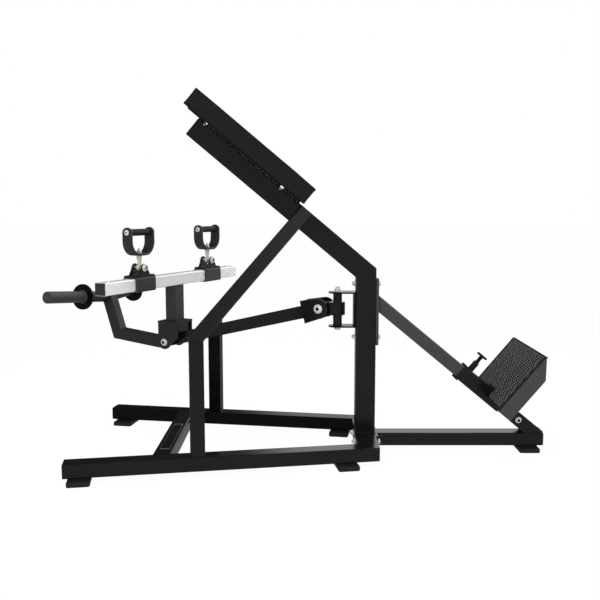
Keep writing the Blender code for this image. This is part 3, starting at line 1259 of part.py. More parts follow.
def build_platform(machine, slide):
    """The tread, notched for the sleeve, and its two side plates."""
    notch = SLIDER_SIZE / 2 + GAP
    wide = TREAD_HALF_WIDTH
    outline = [
        (-wide, TREAD_LOW_T),
        (-notch, TREAD_LOW_T),
        (-notch, notch),
        (notch, notch),
        (notch, TREAD_LOW_T),
        (wide, TREAD_LOW_T),
        (wide, TREAD_HIGH_T),
        (-wide, TREAD_HIGH_T),
    ]
    tread = plate(outline, diagonal_point(TREAD_S + TREAD_THICKNESS / 2, 0), Y_AXIS, DIAGONAL_UP, TREAD_THICKNESS)
    origin = diagonal_point(SLIDER_START_S, 0)
    platform = machine.add("foot_platform", tread, "grey_paint", origin, slide)
    side_outline = [
        (TREAD_S, TREAD_LOW_T),
        (TREAD_S, TREAD_HIGH_T - GAP),
        (TREAD_S + SIDE_PLATE_LENGTH, SIDE_PLATE_HIGH_T),
        (TREAD_S + SIDE_PLATE_LENGTH, SIDE_PLATE_LOW_T),
    ]
    for label, side in SIDES:
        centre = diagonal_point(0, 0, side * (TREAD_HALF_WIDTH - TREAD_THICKNESS / 2))
        machine.join(platform, plate(side_outline, centre, DIAGONAL_ALONG, DIAGONAL_UP, TREAD_THICKNESS))


def build_plunger(machine, pull):
    """The pull pin with its ring, stem and round knob."""
    tip = DIAGONAL_SIZE / 2 + 2 * GAP
    ring = PLUNGER_BARREL_TOP_T + GAP
    profile = [
        (PLUNGER_RADIUS - PLUNGER_TIP_EDGE, tip),
        (PLUNGER_RADIUS, tip + PLUNGER_TIP_EDGE),
        (PLUNGER_RADIUS, ring),
        (PLUNGER_RING_RADIUS, ring),
        (PLUNGER_RING_RADIUS, ring + PLUNGER_RING_HEIGHT),
        (PLUNGER_STEM_RADIUS, ring + PLUNGER_RING_HEIGHT),
        (PLUNGER_STEM_RADIUS, KNOB_T),
        (KNOB_RADIUS - KNOB_EDGE, KNOB_T),
        (KNOB_RADIUS, KNOB_T + KNOB_EDGE),
        (KNOB_RADIUS, KNOB_T + KNOB_THICKNESS - KNOB_EDGE),
        (KNOB_RADIUS - KNOB_EDGE, KNOB_T + KNOB_THICKNESS),
    ]
    foot_place = diagonal_point(PLUNGER_S, 0)
    mesh = turned(profile, foot_place, DIAGONAL_UP, Y_AXIS)
    machine.add("pull_pin", mesh, "plastic", foot_place, pull, smooth=True)


def build_frame(machine):
    """Everything that stands still."""
    build_rails(machine)
    build_crossmembers(machine)
    build_tail_beam(machine)
    build_feet(machine)
    build_upright(machine)
    build_struts(machine)
    build_pad(machine)
    build_pivot_bracket(machine)
    build_tail_diagonal(machine)
    build_socket(machine)


def build_lever(machine):
    """The hub and the lever with all that it carries, under empties on the joints' axes."""
    swing = machine.pivot("lever_swing_axis", (PIN_X, 0, BRACKET_BOTTOM_Z))
    guide = machine.pivot("strut_guide_axis", (PIN_X, 0, BRACKET_BOTTOM_Z), swing)
    build_hub(machine, swing, guide)
    lift = machine.pivot("lever_lift_axis", lever_point(LIFT_L, 0, LIFT_Z), guide)
    mitre, knee = build_arm(machine, lift)
    build_gooseneck(machine, lift, mitre, knee)
    build_horns(machine, lift)
    build_saddle(machine, lift)
    build_saddle_bolt(machine, lift)
    build_post_and_bar(machine, lift)
    for label, middle in CARRIAGES:
        carriage = machine.pivot("carriage_place_" + label, lever_point(BAR_L, middle, BAR_Z), lift)
        build_carriage(machine, label, middle, carriage)
        build_lugs(machine, label, middle, carriage)
        tilt = machine.pivot("handle_tilt_axis_" + label, lever_point(BAR_L, middle, LUG_BOLT_Z), carriage)
        build_eye(machine, label, middle, tilt)
        swivel = machine.pivot("handle_swivel_axis_" + label, lever_point(BAR_L, middle, STRAP_BOTTOM_Z), tilt)
        build_strap(machine, label, middle, swivel)
        build_grip(machine, label, middle, swivel)


def build_machine():
    """The whole machine."""
    clear_scene()
    machine = Machine()
    build_frame(machine)
    build_lever(machine)
    slide = machine.pivot("footplate_place", diagonal_point(SLIDER_START_S, 0))
    build_slider(machine, slide)
    build_platform(machine, slide)
    build_plunger(machine, slide)
    machine.centre_on_floor()
    return machine


build_machine()
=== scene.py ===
"""The looks of the lever row machine: finishes, the stitched chest pad, bolts, grips, treads and welds.

Shapes are arrays of points on two-parameter grids. A shape is a pair (points, faces); a piece is an object made
of one or more shapes, each with its own material. Places come from the CAD nodes' boxes and the joints. Lengths
are in metres. A profile is a list of (radius, distance along the axis); a third entry marks a hexagon.
"""

import json
import math

import bpy
import numpy as np
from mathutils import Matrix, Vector


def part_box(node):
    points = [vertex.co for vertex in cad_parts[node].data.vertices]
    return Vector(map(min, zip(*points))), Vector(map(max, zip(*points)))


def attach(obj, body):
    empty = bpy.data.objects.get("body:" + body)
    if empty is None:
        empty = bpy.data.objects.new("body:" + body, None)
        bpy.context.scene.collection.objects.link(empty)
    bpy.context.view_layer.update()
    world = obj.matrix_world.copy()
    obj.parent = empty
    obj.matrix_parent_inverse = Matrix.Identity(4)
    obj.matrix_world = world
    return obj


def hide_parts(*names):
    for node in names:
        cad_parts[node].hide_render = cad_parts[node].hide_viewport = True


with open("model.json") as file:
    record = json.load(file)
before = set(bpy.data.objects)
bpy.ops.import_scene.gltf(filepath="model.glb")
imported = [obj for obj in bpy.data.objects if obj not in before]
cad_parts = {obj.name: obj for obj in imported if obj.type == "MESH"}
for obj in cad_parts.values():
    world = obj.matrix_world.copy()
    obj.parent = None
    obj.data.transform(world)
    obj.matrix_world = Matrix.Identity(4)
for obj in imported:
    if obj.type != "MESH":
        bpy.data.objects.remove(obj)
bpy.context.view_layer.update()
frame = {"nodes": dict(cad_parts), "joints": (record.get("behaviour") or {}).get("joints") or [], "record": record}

NODES = frame["nodes"]
JOINTS = {joint["name"]: joint for joint in frame["joints"]}


def middle_of(node):
    """Middle of a CAD node's box."""
    low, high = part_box(node)
    return np.array((low + high) / 2)


def joint_place(name):
    """The point on a joint's axis that the record gives."""
    return np.array(JOINTS[name]["pos_m"], float)


def joint_axis(name):
    """The unit vector of a joint's axis."""
    axis = np.array(JOINTS[name]["axis"], float)
    return axis / np.linalg.norm(axis)


X_AXIS, Y_AXIS, Z_AXIS = np.eye(3)
SIDES = (("near", -1), ("far", 1))
FLAT = np.array((1.0, 1.0, 0.0))
UPRIGHT = middle_of("upright") * FLAT
ACROSS = joint_axis("lever_lift")
ALONG = joint_axis("near_handle_tilt")
TAIL_UP = joint_axis("pull_pin_pull")
TAIL_DOWN = -joint_axis("footplate_slide")
SPINE_ANGLE = math.radians(40.0)
SPINE_UP = np.array((math.sin(SPINE_ANGLE), 0, math.cos(SPINE_ANGLE)))
SPINE_DOWN = np.array((math.cos(SPINE_ANGLE), 0, -math.sin(SPINE_ANGLE)))
PIN = joint_place("lever_swing") * FLAT
TAIL_START = UPRIGHT + (0.052, 0, 0.583)

# Clearance between a made piece and the face that it sits on
GAP = 0.0003

# Camera, measured in the photograph
CAMERA_OFFSET = (-0.25576, -2.99846, 0.95467)
CAMERA_PITCH = 0.1185
CAMERA_LENS = 46.38
SENSOR_WIDTH = 36.0

# Studio: lamps are (name, place, size, power)
WHITE = (1, 1, 1, 1)
FLOOR_COLOUR = (0.95, 0.95, 0.95, 1)
FLOOR_SHARE = 0.97
FLOOR_REACH = 40.0
FLOOR_GLOSS = 0.28
AMBIENT_LEVEL = 0.60
STUDIO_SIDE = (1.0, 0.35, 0.0)
LAMPS = (("key", (-1.5, -3.0, 3.5), 2.5, 90.0),
         ("fill", (2.5, -2.0, 2.5), 2.5, 50.0),
         ("top", (0.0, 0.5, 4.0), 3.0, 60.0))
LAMP_TARGET = (0, 0, 0.5)

# Fineness of the turned and rounded shapes
TURN_STEPS = 48
CORNER_STEPS = 6
RIM_STEPS = 4
BEAD_STEPS = 8


def lever_point(along, across, height):
    """A point by its distance along the lever from the pin, across it, and its height."""
    return PIN + ALONG * along + ACROSS * across + Z_AXIS * height


def tail_point(down, up, across=0.0):
    """A point by its distance down the tail tube, above it, and across."""
    return TAIL_START + TAIL_DOWN * down + TAIL_UP * up + Y_AXIS * across


def unit(vector):
    """The vector divided by its length."""
    return np.asarray(vector, float) / np.linalg.norm(vector)


def unit_rows(rows):
    """Each row divided by its length."""
    return rows / np.linalg.norm(rows, axis=1, keepdims=True)


def quarter_turn(steps):
    """Angles from nothing to a quarter turn, both ends included."""
    return np.linspace(0, math.pi / 2, steps)


def full_turn(steps):
    """Angles of a full turn, its end left out."""
    return np.linspace(0, 2 * math.pi, steps, endpoint=False)


def grid_faces(rows, columns, wrap_rows):
    """Quads of a grid: each joins a point with its neighbours in the next row and column. The last column is
    followed by the first, and the last row too if asked."""
    row = np.arange(rows if wrap_rows else rows - 1)[:, None]
    column = np.arange(columns)[None, :]
    next_row = (row + 1) % rows
    next_column = (column + 1) % columns
    quads = np.stack([row * columns + column, row * columns + next_column,
                      next_row * columns + next_column, next_row * columns + column], axis=-1)
    return quads.reshape(-1, 4).tolist()


def signed_volume(points, faces):
    """Six times the volume: the sum over each face's fan of a . (b x c)."""
    total = 0.0
    for face in faces:
        corners = points[np.asarray(face)]
        crosses = np.cross(corners[1:-1], corners[2:])
        total += float((crosses @ corners[0]).sum())
    return total


def closed_shape(grid, wrap_rows=False):
    """A shape from a grid whose columns close: its first and last rows are capped unless the rows close too."""
    rows, columns = grid.shape[:2]
    points = grid.reshape(-1, 3)
    faces = grid_faces(rows, columns, wrap_rows)
    if not wrap_rows:
        faces.append(list(range(columns))[::-1])
        faces.append(list(range((rows - 1) * columns, rows * columns)))
    middle = points.mean(axis=0)
    if signed_volume(points - middle, faces) < 0:
        faces = [face[::-1] for face in faces]
    return points, faces


def turned_grid(profile, place, axis):
    """Rings of a turned shape: each profile pair (radius, distance) is a circle about the axis; a third entry
    makes it a hexagon, by dividing the radius by cos of the angle to the nearest flat's middle."""
    axis = unit(axis)
    across = unit(np.cross(axis, X_AXIS if abs(axis[0]) < 0.8 else Y_AXIS))
    other = np.cross(axis, across)
    angles = full_turn(TURN_STEPS)
    flat = math.pi / 3
    stretch = 1 / np.cos((angles + flat / 2) % flat - flat / 2)
    hexagon = np.array([len(entry) > 2 for entry in profile])[:, None]
    radius = np.array([entry[0] for entry in profile])[:, None] * np.where(hexagon, stretch, 1.0)
    distance = np.array([entry[1] for entry in profile])[:, None, None]
    ring = np.cos(angles)[:, None] * across + np.sin(angles)[:, None] * other
    return np.asarray(place) + distance * axis + radius[..., None] * ring


def turned(profile, place, axis):
    """A turned shape with closed ends, from its profile."""
    return closed_shape(turned_grid(profile, place, axis))


def arc(x, y, half_width, half_height, angles):
    """Points of an oval: its middle plus half its width times cos and half its height times sin."""
    return np.stack([x + half_width * np.cos(angles), y + half_height * np.sin(angles)], axis=1).tolist()


def bead_outline(half_width, half_height):
    """Points of the section of a bead, about its middle."""
    return np.array(arc(0, 0, half_width, half_height, full_turn(BEAD_STEPS)))


def rounded_outline(width, height, corner, steps=CORNER_STEPS, along=(0, 0)):
    """Points of a rectangle about its middle whose corners are quarter circles of a radius; along gives how
    many points divide each straight side, across its height and its width."""
    turn = quarter_turn(steps + 1)
    signs = ((1, -1), (1, 1), (-1, 1), (-1, -1))
    parts = []
    for quarter, (sx, sy) in enumerate(signs):
        angle = turn + math.pi / 2 * (quarter - 1)
        x = sx * (width / 2 - corner) + corner * np.cos(angle)
        y = sy * (height / 2 - corner) + corner * np.sin(angle)
        parts.append(np.stack([x, y], axis=1))
    rows = []
    for index, part in enumerate(parts):
        following = parts[(index + 1) % 4][0]
        share = np.linspace(0, 1, along[index % 2] + 2)[1:-1, None]
        rows += [part, part[-1] + (following - part[-1]) * share]
    return np.concatenate(rows)


def slab(outline, place, u, v, thickness, edge):
    """A plate with rounded rims: the outline is drawn in and lifted by a quarter circle at its lower and upper
    rim, drawn in by scaling about its middle."""
    normal = unit(np.cross(u, v))
    turn = quarter_turn(RIM_STEPS)
    inset = edge * (1 - np.sin(turn))
    rise = edge * (1 - np.cos(turn))
    insets = np.concatenate([inset, inset[::-1]])
    heights = np.concatenate([rise, thickness - rise[::-1]])
    half = np.abs(outline).max(axis=0)
    scale = (half - insets[:, None]) / half
    flat = outline[None, :, :] * scale[:, None, :]
    grid = (np.asarray(place) + flat[..., :1] * u + flat[..., 1:] * v
            + (heights[:, None, None] - thickness / 2) * normal)
    return closed_shape(grid)


def carried(outline, path, u_rows, v_rows, wrap=False):
    """An outline carried along a path: row i is path[i] + x * u[i] + y * v[i]."""
    path = np.asarray(path, float)
    u_rows = np.broadcast_to(u_rows, path.shape)
    v_rows = np.broadcast_to(v_rows, path.shape)
    outline = np.asarray(outline, float)
    if outline.ndim == 2:
        outline = np.broadcast_to(outline, (len(path),) + outline.shape)
    grid = path[:, None, :] + outline[..., :1] * u_rows[:, None, :] + outline[..., 1:] * v_rows[:, None, :]
    return closed_shape(grid, wrap_rows=wrap)


def add_object(name, data):
    """An object that shows some data, in the scene's collection."""
    item = bpy.data.objects.new(name, data)
    bpy.context.scene.collection.objects.link(item)
    return item


def piece(name, shapes, body, smooth_angle=40.0):
    """An object from shapes with their materials: [(shape, material), ...]. It rides on a body."""
    points, faces, slots, materials = [], [], [], []
    start = 0
    for (shape_points, shape_faces), material in shapes:
        if material not in materials:
            materials.append(material)
        points.append(shape_points)
        faces += [[index + start for index in face] for face in shape_faces]
        slots += [materials.index(material)] * len(shape_faces)
        start += len(shape_points)
    mesh = bpy.data.meshes.new(name)
    mesh.from_pydata(np.concatenate(points).tolist(), [], faces)
    mesh.polygons.foreach_set("material_index", slots)
    for material in materials:
        mesh.materials.append(material)
    mesh.shade_smooth()
    mesh.set_sharp_from_angle(angle=math.radians(smooth_angle))
    mesh.update()
    item = add_object(name, mesh)
    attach(item, body)
    return item


def socket_kind(label):
    """A socket whose label starts with Colour is a colour, any other is a float."""
    return "NodeSocketColor" if label.startswith("Colour") else "NodeSocketFloat"


def new_group(name, inputs, outputs):
    """A shader node group with its inputs, given with their defaults, its outputs, and its two end nodes."""
    group = bpy.data.node_groups.new(name, "ShaderNodeTree")
    for label, default in inputs:
        socket = group.interface.new_socket(name=label, in_out="INPUT", socket_type=socket_kind(label))
        socket.default_value = default
    for label in outputs:
        group.interface.new_socket(name=label, in_out="OUTPUT", socket_type=socket_kind(label))
    return group, group.nodes.new("NodeGroupInput"), group.nodes.new("NodeGroupOutput")


def add_node(tree, kind, **settings):
    """A node with its settings and input values: a key that names an input sets that input."""
    node = tree.nodes.new(kind)
    for key, value in settings.items():
        if hasattr(node, key):
            setattr(node, key, value)
        else:
            node.inputs[key.replace("_", " ")].default_value = value
    return node


def join(tree, *pairs):
    """Link the source of each pair of sockets to its target."""
    for source, target in pairs:
        tree.links.new(source, target)


def object_noise(tree, scale_socket, detail, stretch=None):
    """Noise on object coordinates, stretched by a mapping where given."""
    coordinates = add_node(tree, "ShaderNodeTexCoord")
    noise = add_node(tree, "ShaderNodeTexNoise", Detail=detail)
    source = coordinates.outputs["Object"]
    if stretch:
        mapping = add_node(tree, "ShaderNodeMapping", Scale=stretch)
        join(tree, (source, mapping.inputs["Vector"]))
        source = mapping.outputs["Vector"]
    join(tree, (source, noise.inputs["Vector"]))
    if scale_socket is not None:
        join(tree, (scale_socket, noise.inputs["Scale"]))
    return noise


def powder_coat_group():
    """Powder coat: fine orange peel as height, and broad cloudiness as a roughness offset."""
    group, start, end = new_group("powder coat", [("Peel Scale", 900.0), ("Roughness", 0.3), ("Spread", 0.08)],
                                  ["Height", "Roughness"])
    peel = object_noise(group, start.outputs["Peel Scale"], 2.0)
    cloud = object_noise(group, None, 5.0)
    cloud.inputs["Scale"].default_value = 9.0
    offset = add_node(group, "ShaderNodeMath", operation="SUBTRACT")
    offset.inputs[1].default_value = 0.5
    spread = add_node(group, "ShaderNodeMath", operation="MULTIPLY_ADD")
    join(group, (cloud.outputs["Fac"], offset.inputs[0]), (offset.outputs[0], spread.inputs[0]),
         (start.outputs["Spread"], spread.inputs[1]), (start.outputs["Roughness"], spread.inputs[2]),
         (peel.outputs["Fac"], end.inputs["Height"]), (spread.outputs[0], end.inputs["Roughness"]))
    return group


def grain_group():
    """Vinyl grain: rounded cells with creases between them, and finer noise inside."""
    group, start, end = new_group("vinyl grain", [("Cell Scale", 420.0)], ["Height"])
    coordinates = add_node(group, "ShaderNodeTexCoord")
    cells = add_node(group, "ShaderNodeTexVoronoi", feature="SMOOTH_F1")
    fine = object_noise(group, start.outputs["Cell Scale"], 3.0)
    blend = add_node(group, "ShaderNodeMath", operation="MULTIPLY_ADD")
    blend.inputs[1].default_value = -0.35
    join(group, (coordinates.outputs["Object"], cells.inputs["Vector"]),
         (start.outputs["Cell Scale"], cells.inputs["Scale"]), (fine.outputs["Fac"], blend.inputs[0]),
         (cells.outputs["Distance"], blend.inputs[2]), (blend.outputs[0], end.inputs["Height"]))
    return group


def brushed_group(stretch):
    """Brushed metal: noise stretched along the brushing, as height and as a roughness value."""
    group, start, end = new_group("brushed metal", [("Line Scale", 60.0), ("Low", 0.1), ("High", 0.2)],
                                  ["Height", "Roughness"])
    lines = object_noise(group, start.outputs["Line Scale"], 6.0, stretch)
    band = add_node(group, "ShaderNodeMapRange")
    join(group, (lines.outputs["Fac"], band.inputs["Value"]), (start.outputs["Low"], band.inputs["To Min"]),
         (start.outputs["High"], band.inputs["To Max"]), (lines.outputs["Fac"], end.inputs["Height"]),
         (band.outputs["Result"], end.inputs["Roughness"]))
    return group


def tint_group():
    """Uneven tint: two colours mixed by cloudy noise, for every finish."""
    group, start, end = new_group("uneven tint", [("Colour A", WHITE), ("Colour B", WHITE), ("Scale", 20.0)],
                                  ["Colour"])
    clouds = object_noise(group, start.outputs["Scale"], 5.0)
    mix = add_node(group, "ShaderNodeMix", data_type="RGBA")
    join(group, (clouds.outputs["Fac"], mix.inputs["Factor"]), (start.outputs["Colour A"], mix.inputs[6]),
         (start.outputs["Colour B"], mix.inputs[7]), (mix.outputs[2], end.inputs["Colour"]))
    return group


POWDER_COAT = powder_coat_group()
VINYL_GRAIN = grain_group()
BRUSHED_METAL = brushed_group((0.6, 0.6, 9.0))
UNEVEN_TINT = tint_group()

# Scales and depths that each family of finishes shares
PAINT_CLOUDS = 14.0
MOULDED_CLOUDS = 30.0
METAL_CLOUDS = 40.0
PEEL_SCALE = 700.0
PEEL_SPREAD = 0.10
SKIN_DEPTH = 0.0004
BRUSH_STRENGTH = 0.05
BRUSH_DEPTH = 0.0002


def base_material(name, roughness, metallic=0.0, specular=0.5):
    """A material with its Principled shader's plain values set on the shader's own sockets."""
    material = bpy.data.materials.new(name)
    material.use_nodes = True
    shader = material.node_tree.nodes["Principled BSDF"]
    values = {"Base Color": (0.5, 0.5, 0.5, 1), "Roughness": roughness, "Metallic": metallic,
              "Specular IOR Level": specular}
    for label, value in values.items():
        shader.inputs[label].default_value = value
    return material, material.node_tree, shader


def use_group(tree, group, **values):
    """A node group placed in a material, with its own values."""
    return add_node(tree, "ShaderNodeGroup", node_tree=group, **values)


def use_bump(tree, shader, height, strength, distance):
    """Feed a height into the shader's normal."""
    bump = add_node(tree, "ShaderNodeBump", Strength=strength, Distance=distance)
    join(tree, (height, bump.inputs["Height"]), (bump.outputs["Normal"], shader.inputs["Normal"]))


def opaque(colour):
    """The four values of a colour, given as three or as one grey."""
    return (*colour, 1) if isinstance(colour, tuple) else (colour, colour, colour, 1)


def use_tint(tree, shader, dark, light, scale):
    """Feed a cloudy mix of two colours into the base colour."""
    tint = use_group(tree, UNEVEN_TINT, Colour_A=opaque(dark), Colour_B=opaque(light), Scale=scale)
    join(tree, (tint.outputs["Colour"], shader.inputs["Base Color"]))


def paint(name, dark, light, roughness, peel=0.03, specular=0.5):
    """Powder-coated steel."""
    material, tree, shader = base_material(name, roughness, specular=specular)
    use_tint(tree, shader, dark, light, PAINT_CLOUDS)
    coat = use_group(tree, POWDER_COAT, Peel_Scale=PEEL_SCALE, Roughness=roughness, Spread=PEEL_SPREAD)
    join(tree, (coat.outputs["Roughness"], shader.inputs["Roughness"]))
    use_bump(tree, shader, coat.outputs["Height"], peel, SKIN_DEPTH)
    return material


def moulded(name, dark, light, roughness, grain_scale=500.0, strength=0.25, specular=0.2):
    """Moulded plastic, rubber, vinyl or wood with a fine grain."""
    material, tree, shader = base_material(name, roughness, specular=specular)
    use_tint(tree, shader, dark, light, MOULDED_CLOUDS)
    grain = use_group(tree, VINYL_GRAIN, Cell_Scale=grain_scale)
    use_bump(tree, shader, grain.outputs["Height"], strength, SKIN_DEPTH)
    return material


def plated(name, dark, light, low, high, scale=60.0, metallic=1.0):
    """Plated or polished steel with brush marks."""
    material, tree, shader = base_material(name, low, metallic=metallic)
    use_tint(tree, shader, dark, light, METAL_CLOUDS)
    lines = use_group(tree, BRUSHED_METAL, Line_Scale=scale, Low=low, High=high)
    join(tree, (lines.outputs["Roughness"], shader.inputs["Roughness"]))
    use_bump(tree, shader, lines.outputs["Height"], BRUSH_STRENGTH, BRUSH_DEPTH)
    return material


FRAME_PAINT = paint("frame_paint", (0.0030, 0.0030, 0.0032), (0.0050, 0.0050, 0.0053), 0.20)
# Darker copy of the frame paint with weaker gloss: painted shade for the far rail, the far strut, the pivot
# bracket and the horns' flanges
SHADED_FRAME_PAINT = paint("shaded_frame_paint", (0.0016, 0.0016, 0.0017), (0.0026, 0.0026, 0.0027), 0.24, 0.03, 0.14)
LEVER_PAINT = paint("lever_paint", (0.010, 0.010, 0.0105), (0.015, 0.015, 0.0155), 0.32)
POST_PAINT = paint("post_paint", (0.022, 0.022, 0.023), (0.030, 0.030, 0.031), 0.38)
STEP_PAINT = paint("step_paint", (0.034, 0.034, 0.035), (0.044, 0.044, 0.045), 0.46)
STRAP_PAINT = paint("strap_paint", (0.014, 0.014, 0.015), (0.020, 0.020, 0.021), 0.34)
BAR_PLUG = moulded("bar_plug", 0.024, 0.032, 0.5)
BLACK_PLASTIC = moulded("black_plastic", 0.008, 0.012, 0.5)
FOOT_RUBBER = moulded("foot_rubber", 0.008, 0.014, 0.55, 300.0, 0.35, 0.3)
GRIP_RUBBER = moulded("grip_rubber", 0.008, 0.014, 0.55, 800.0, 0.4, 0.3)
TREAD_RUBBER = moulded("tread_rubber", 0.010, 0.016, 0.55, 500.0, 0.4)
TREAD_BAR = moulded("tread_bar", 0.11, 0.19, 0.45, 700.0, 0.3)
PAD_VINYL = moulded("pad_vinyl", (0.0088, 0.0088, 0.0090), (0.0120, 0.0120, 0.0123), 0.50, 420.0, 0.30, 0.10)
BOLT_STEEL = plated("bolt_steel", (0.80, 0.80, 0.81), 0.95, 0.14, 0.24, 60.0, 0.5)
# Dark steel: the pull pin's own finish, and also painted shade on the thin discs set at the floor of the bolt and
# screw sockets
PIN_STEEL_AND_SOCKET_SHADE = plated("pin_steel_and_socket_shade", 0.03, 0.06, 0.40, 0.55)
BAR_STEEL = plated("bar_steel", 0.93, 1.00, 0.12, 0.22, 30.0, 0.30)
YELLOW_ZINC = plated("yellow_zinc", (0.80, 0.76, 0.48), (1.00, 0.98, 0.86), 0.16, 0.28, 60.0, 0.5)
BORDER_LINE = moulded("border_line", 0.30, 0.38, 0.5)
BEARING_BRONZE = plated("bearing_bronze", (0.45, 0.30, 0.12), (0.60, 0.42, 0.20), 0.25, 0.40)
PLYWOOD = moulded("plywood", (0.30, 0.19, 0.10), (0.46, 0.32, 0.18), 0.7, 90.0, 0.2)

SLOT_FINISH = {
    "black_paint": FRAME_PAINT, "grey_paint": STEP_PAINT, "plastic": BLACK_PLASTIC, "rubber": FOOT_RUBBER,
    "vinyl": PAD_VINYL, "plywood": PLYWOOD, "steel": BOLT_STEEL, "polished": BAR_STEEL, "zinc": YELLOW_ZINC,
    "bronze": BEARING_BRONZE,
}
NODE_FINISH = {
    "gooseneck": LEVER_PAINT, "post_saddle": LEVER_PAINT, "handle_post": POST_PAINT,
    "carriage_near": POST_PAINT, "carriage_far": POST_PAINT, "footplate_slider": FRAME_PAINT,
    # The far rail, far strut and pivot bracket take the darker copy of the frame paint as painted shade
    "bar_cap_near": BAR_PLUG, "bar_cap_far": BAR_PLUG, "rail_far": SHADED_FRAME_PAINT, "strut_far": SHADED_FRAME_PAINT,
    "pivot_bracket": SHADED_FRAME_PAINT,
}


def finish_nodes():
    """Give each CAD node the finish of its slot, or its own."""
    for entry in frame["record"]["subparts"]:
        material = NODE_FINISH.get(entry["node"], SLOT_FINISH[entry["material_slot"]])
        mesh = NODES[entry["node"]].data
        mesh.materials.clear()
        mesh.materials.append(material)


# Chest pad, in the frame of the backbone
PAD_LENGTH = 0.572
PAD_WIDTH = 0.2585
PAD_THICKNESS = 0.0735
PAD_MIDDLE_ALONG = 0.6395
PAD_BASE_UP = 0.0464
BEND_Z = 0.706
PAD_EDGE = 0.005
PAD_CORNER = 0.010
PAD_LEAST_CORNER = 0.003
PAD_CROWN = 0.003
PAD_WAIST = 0.0016
PAD_SLIT = 0.004
PAD_DIVISIONS = (40, 92)
PAD_RIM_STEPS = 5
PAD_WALL_STEPS = 13
PAD_TOP_STEPS = 22
SEAM_RADIUS = 0.0013
SEAM_INSET = 0.001
SEAM_FROM_BASE = 0.0040
SEAM_FROM_TOP = 0.0035
FLAP_LENGTH = 0.018
FLAP_DEPTH = 0.006
FLAP_INSET = 0.010
FLAP_SIDE_GAP = 0.004

# Cushion's cloth: no point moves further than the swell
PAD_SWELL = 0.0009
CLOTH_PRESSURE = 4.0
CLOTH_TENSION = 25.0
CLOTH_BENDING = 4.0
CLOTH_FRAMES = 20


def spine_point(along, up, across=0.0):
    """A point by its distance up the backbone from the bend, above its middle line, and across."""
    return UPRIGHT + Z_AXIS * BEND_Z - SPINE_DOWN * along + SPINE_UP * up + Y_AXIS * across


# Middle of the pad's whole thickness, cushion and board together
PAD_MIDDLE = spine_point(PAD_MIDDLE_ALONG, PAD_BASE_UP + PAD_THICKNESS / 2)


def simulate_cushion(item):
    """Swell the cushion as cloth: inflated with gravity off, and no point moved further than PAD_SWELL."""
    mesh = item.data
    count = len(mesh.vertices)
    before = np.empty(count * 3)
    mesh.vertices.foreach_get("co", before)
    cloth = item.modifiers.new("swell", "CLOTH")
    cloth.settings.use_pressure = True
    cloth.settings.uniform_pressure_force = CLOTH_PRESSURE
    cloth.settings.effector_weights.gravity = 0.0
    cloth.settings.tension_stiffness = CLOTH_TENSION
    cloth.settings.bending_stiffness = CLOTH_BENDING
    scene = bpy.context.scene
    for number in range(1, CLOTH_FRAMES + 1):
        scene.frame_set(number)
    evaluated = item.evaluated_get(bpy.context.evaluated_depsgraph_get())
    after = np.empty(count * 3)
    evaluated.data.vertices.foreach_get("co", after)
    item.modifiers.clear()
    scene.frame_set(1)
    move = (after - before).reshape(-1, 3)
    length = np.linalg.norm(move, axis=1, keepdims=True)
    capped = before.reshape(-1, 3) + move * np.minimum(1, PAD_SWELL / np.maximum(length, 1e-9))
    mesh.vertices.foreach_set("co", capped.ravel())
    mesh.update()


def cushion_grid():
    """The cushion as rings of its rounded outline: quarter circles at the lower and upper rim, sides drawn in
    by a parabola between the rims, and a top that rises to its crown as 1 - share squared."""
    turn = quarter_turn(PAD_RIM_STEPS)
    rim_inset = PAD_EDGE * (1 - np.sin(turn))
    rim_rise = PAD_EDGE * (1 - np.cos(turn))
    wall = np.linspace(0, 1, PAD_WALL_STEPS)[1:-1]
    wall_inset = PAD_WAIST * wall * (1 - wall)
    wall_rise = PAD_EDGE + (PAD_THICKNESS - PAD_CROWN - 2 * PAD_EDGE) * wall
    share = np.linspace(0, 1, PAD_TOP_STEPS)[1:]
    top_inset = PAD_EDGE + (PAD_WIDTH / 2 - PAD_EDGE - PAD_SLIT) * share
    top_rise = PAD_THICKNESS - PAD_CROWN * (1 - share) ** 2
    base_rise = np.zeros(len(share))
    upper_rise = PAD_THICKNESS - PAD_CROWN - rim_rise[::-1]
    insets = np.concatenate([top_inset[::-1], rim_inset, wall_inset, rim_inset[::-1], top_inset])
    rises = np.concatenate([base_rise, rim_rise, wall_rise, upper_rise, top_rise])
    rows = []
    for inset in insets:
        corner = max(PAD_CORNER - inset, PAD_LEAST_CORNER)
        rows.append(rounded_outline(PAD_LENGTH - 2 * inset, PAD_WIDTH - 2 * inset, corner, 5, PAD_DIVISIONS))
    flat = np.stack(rows)
    return (PAD_MIDDLE + flat[..., :1] * SPINE_DOWN + flat[..., 1:] * Y_AXIS
            + (rises[:, None, None] - PAD_THICKNESS / 2) * SPINE_UP)


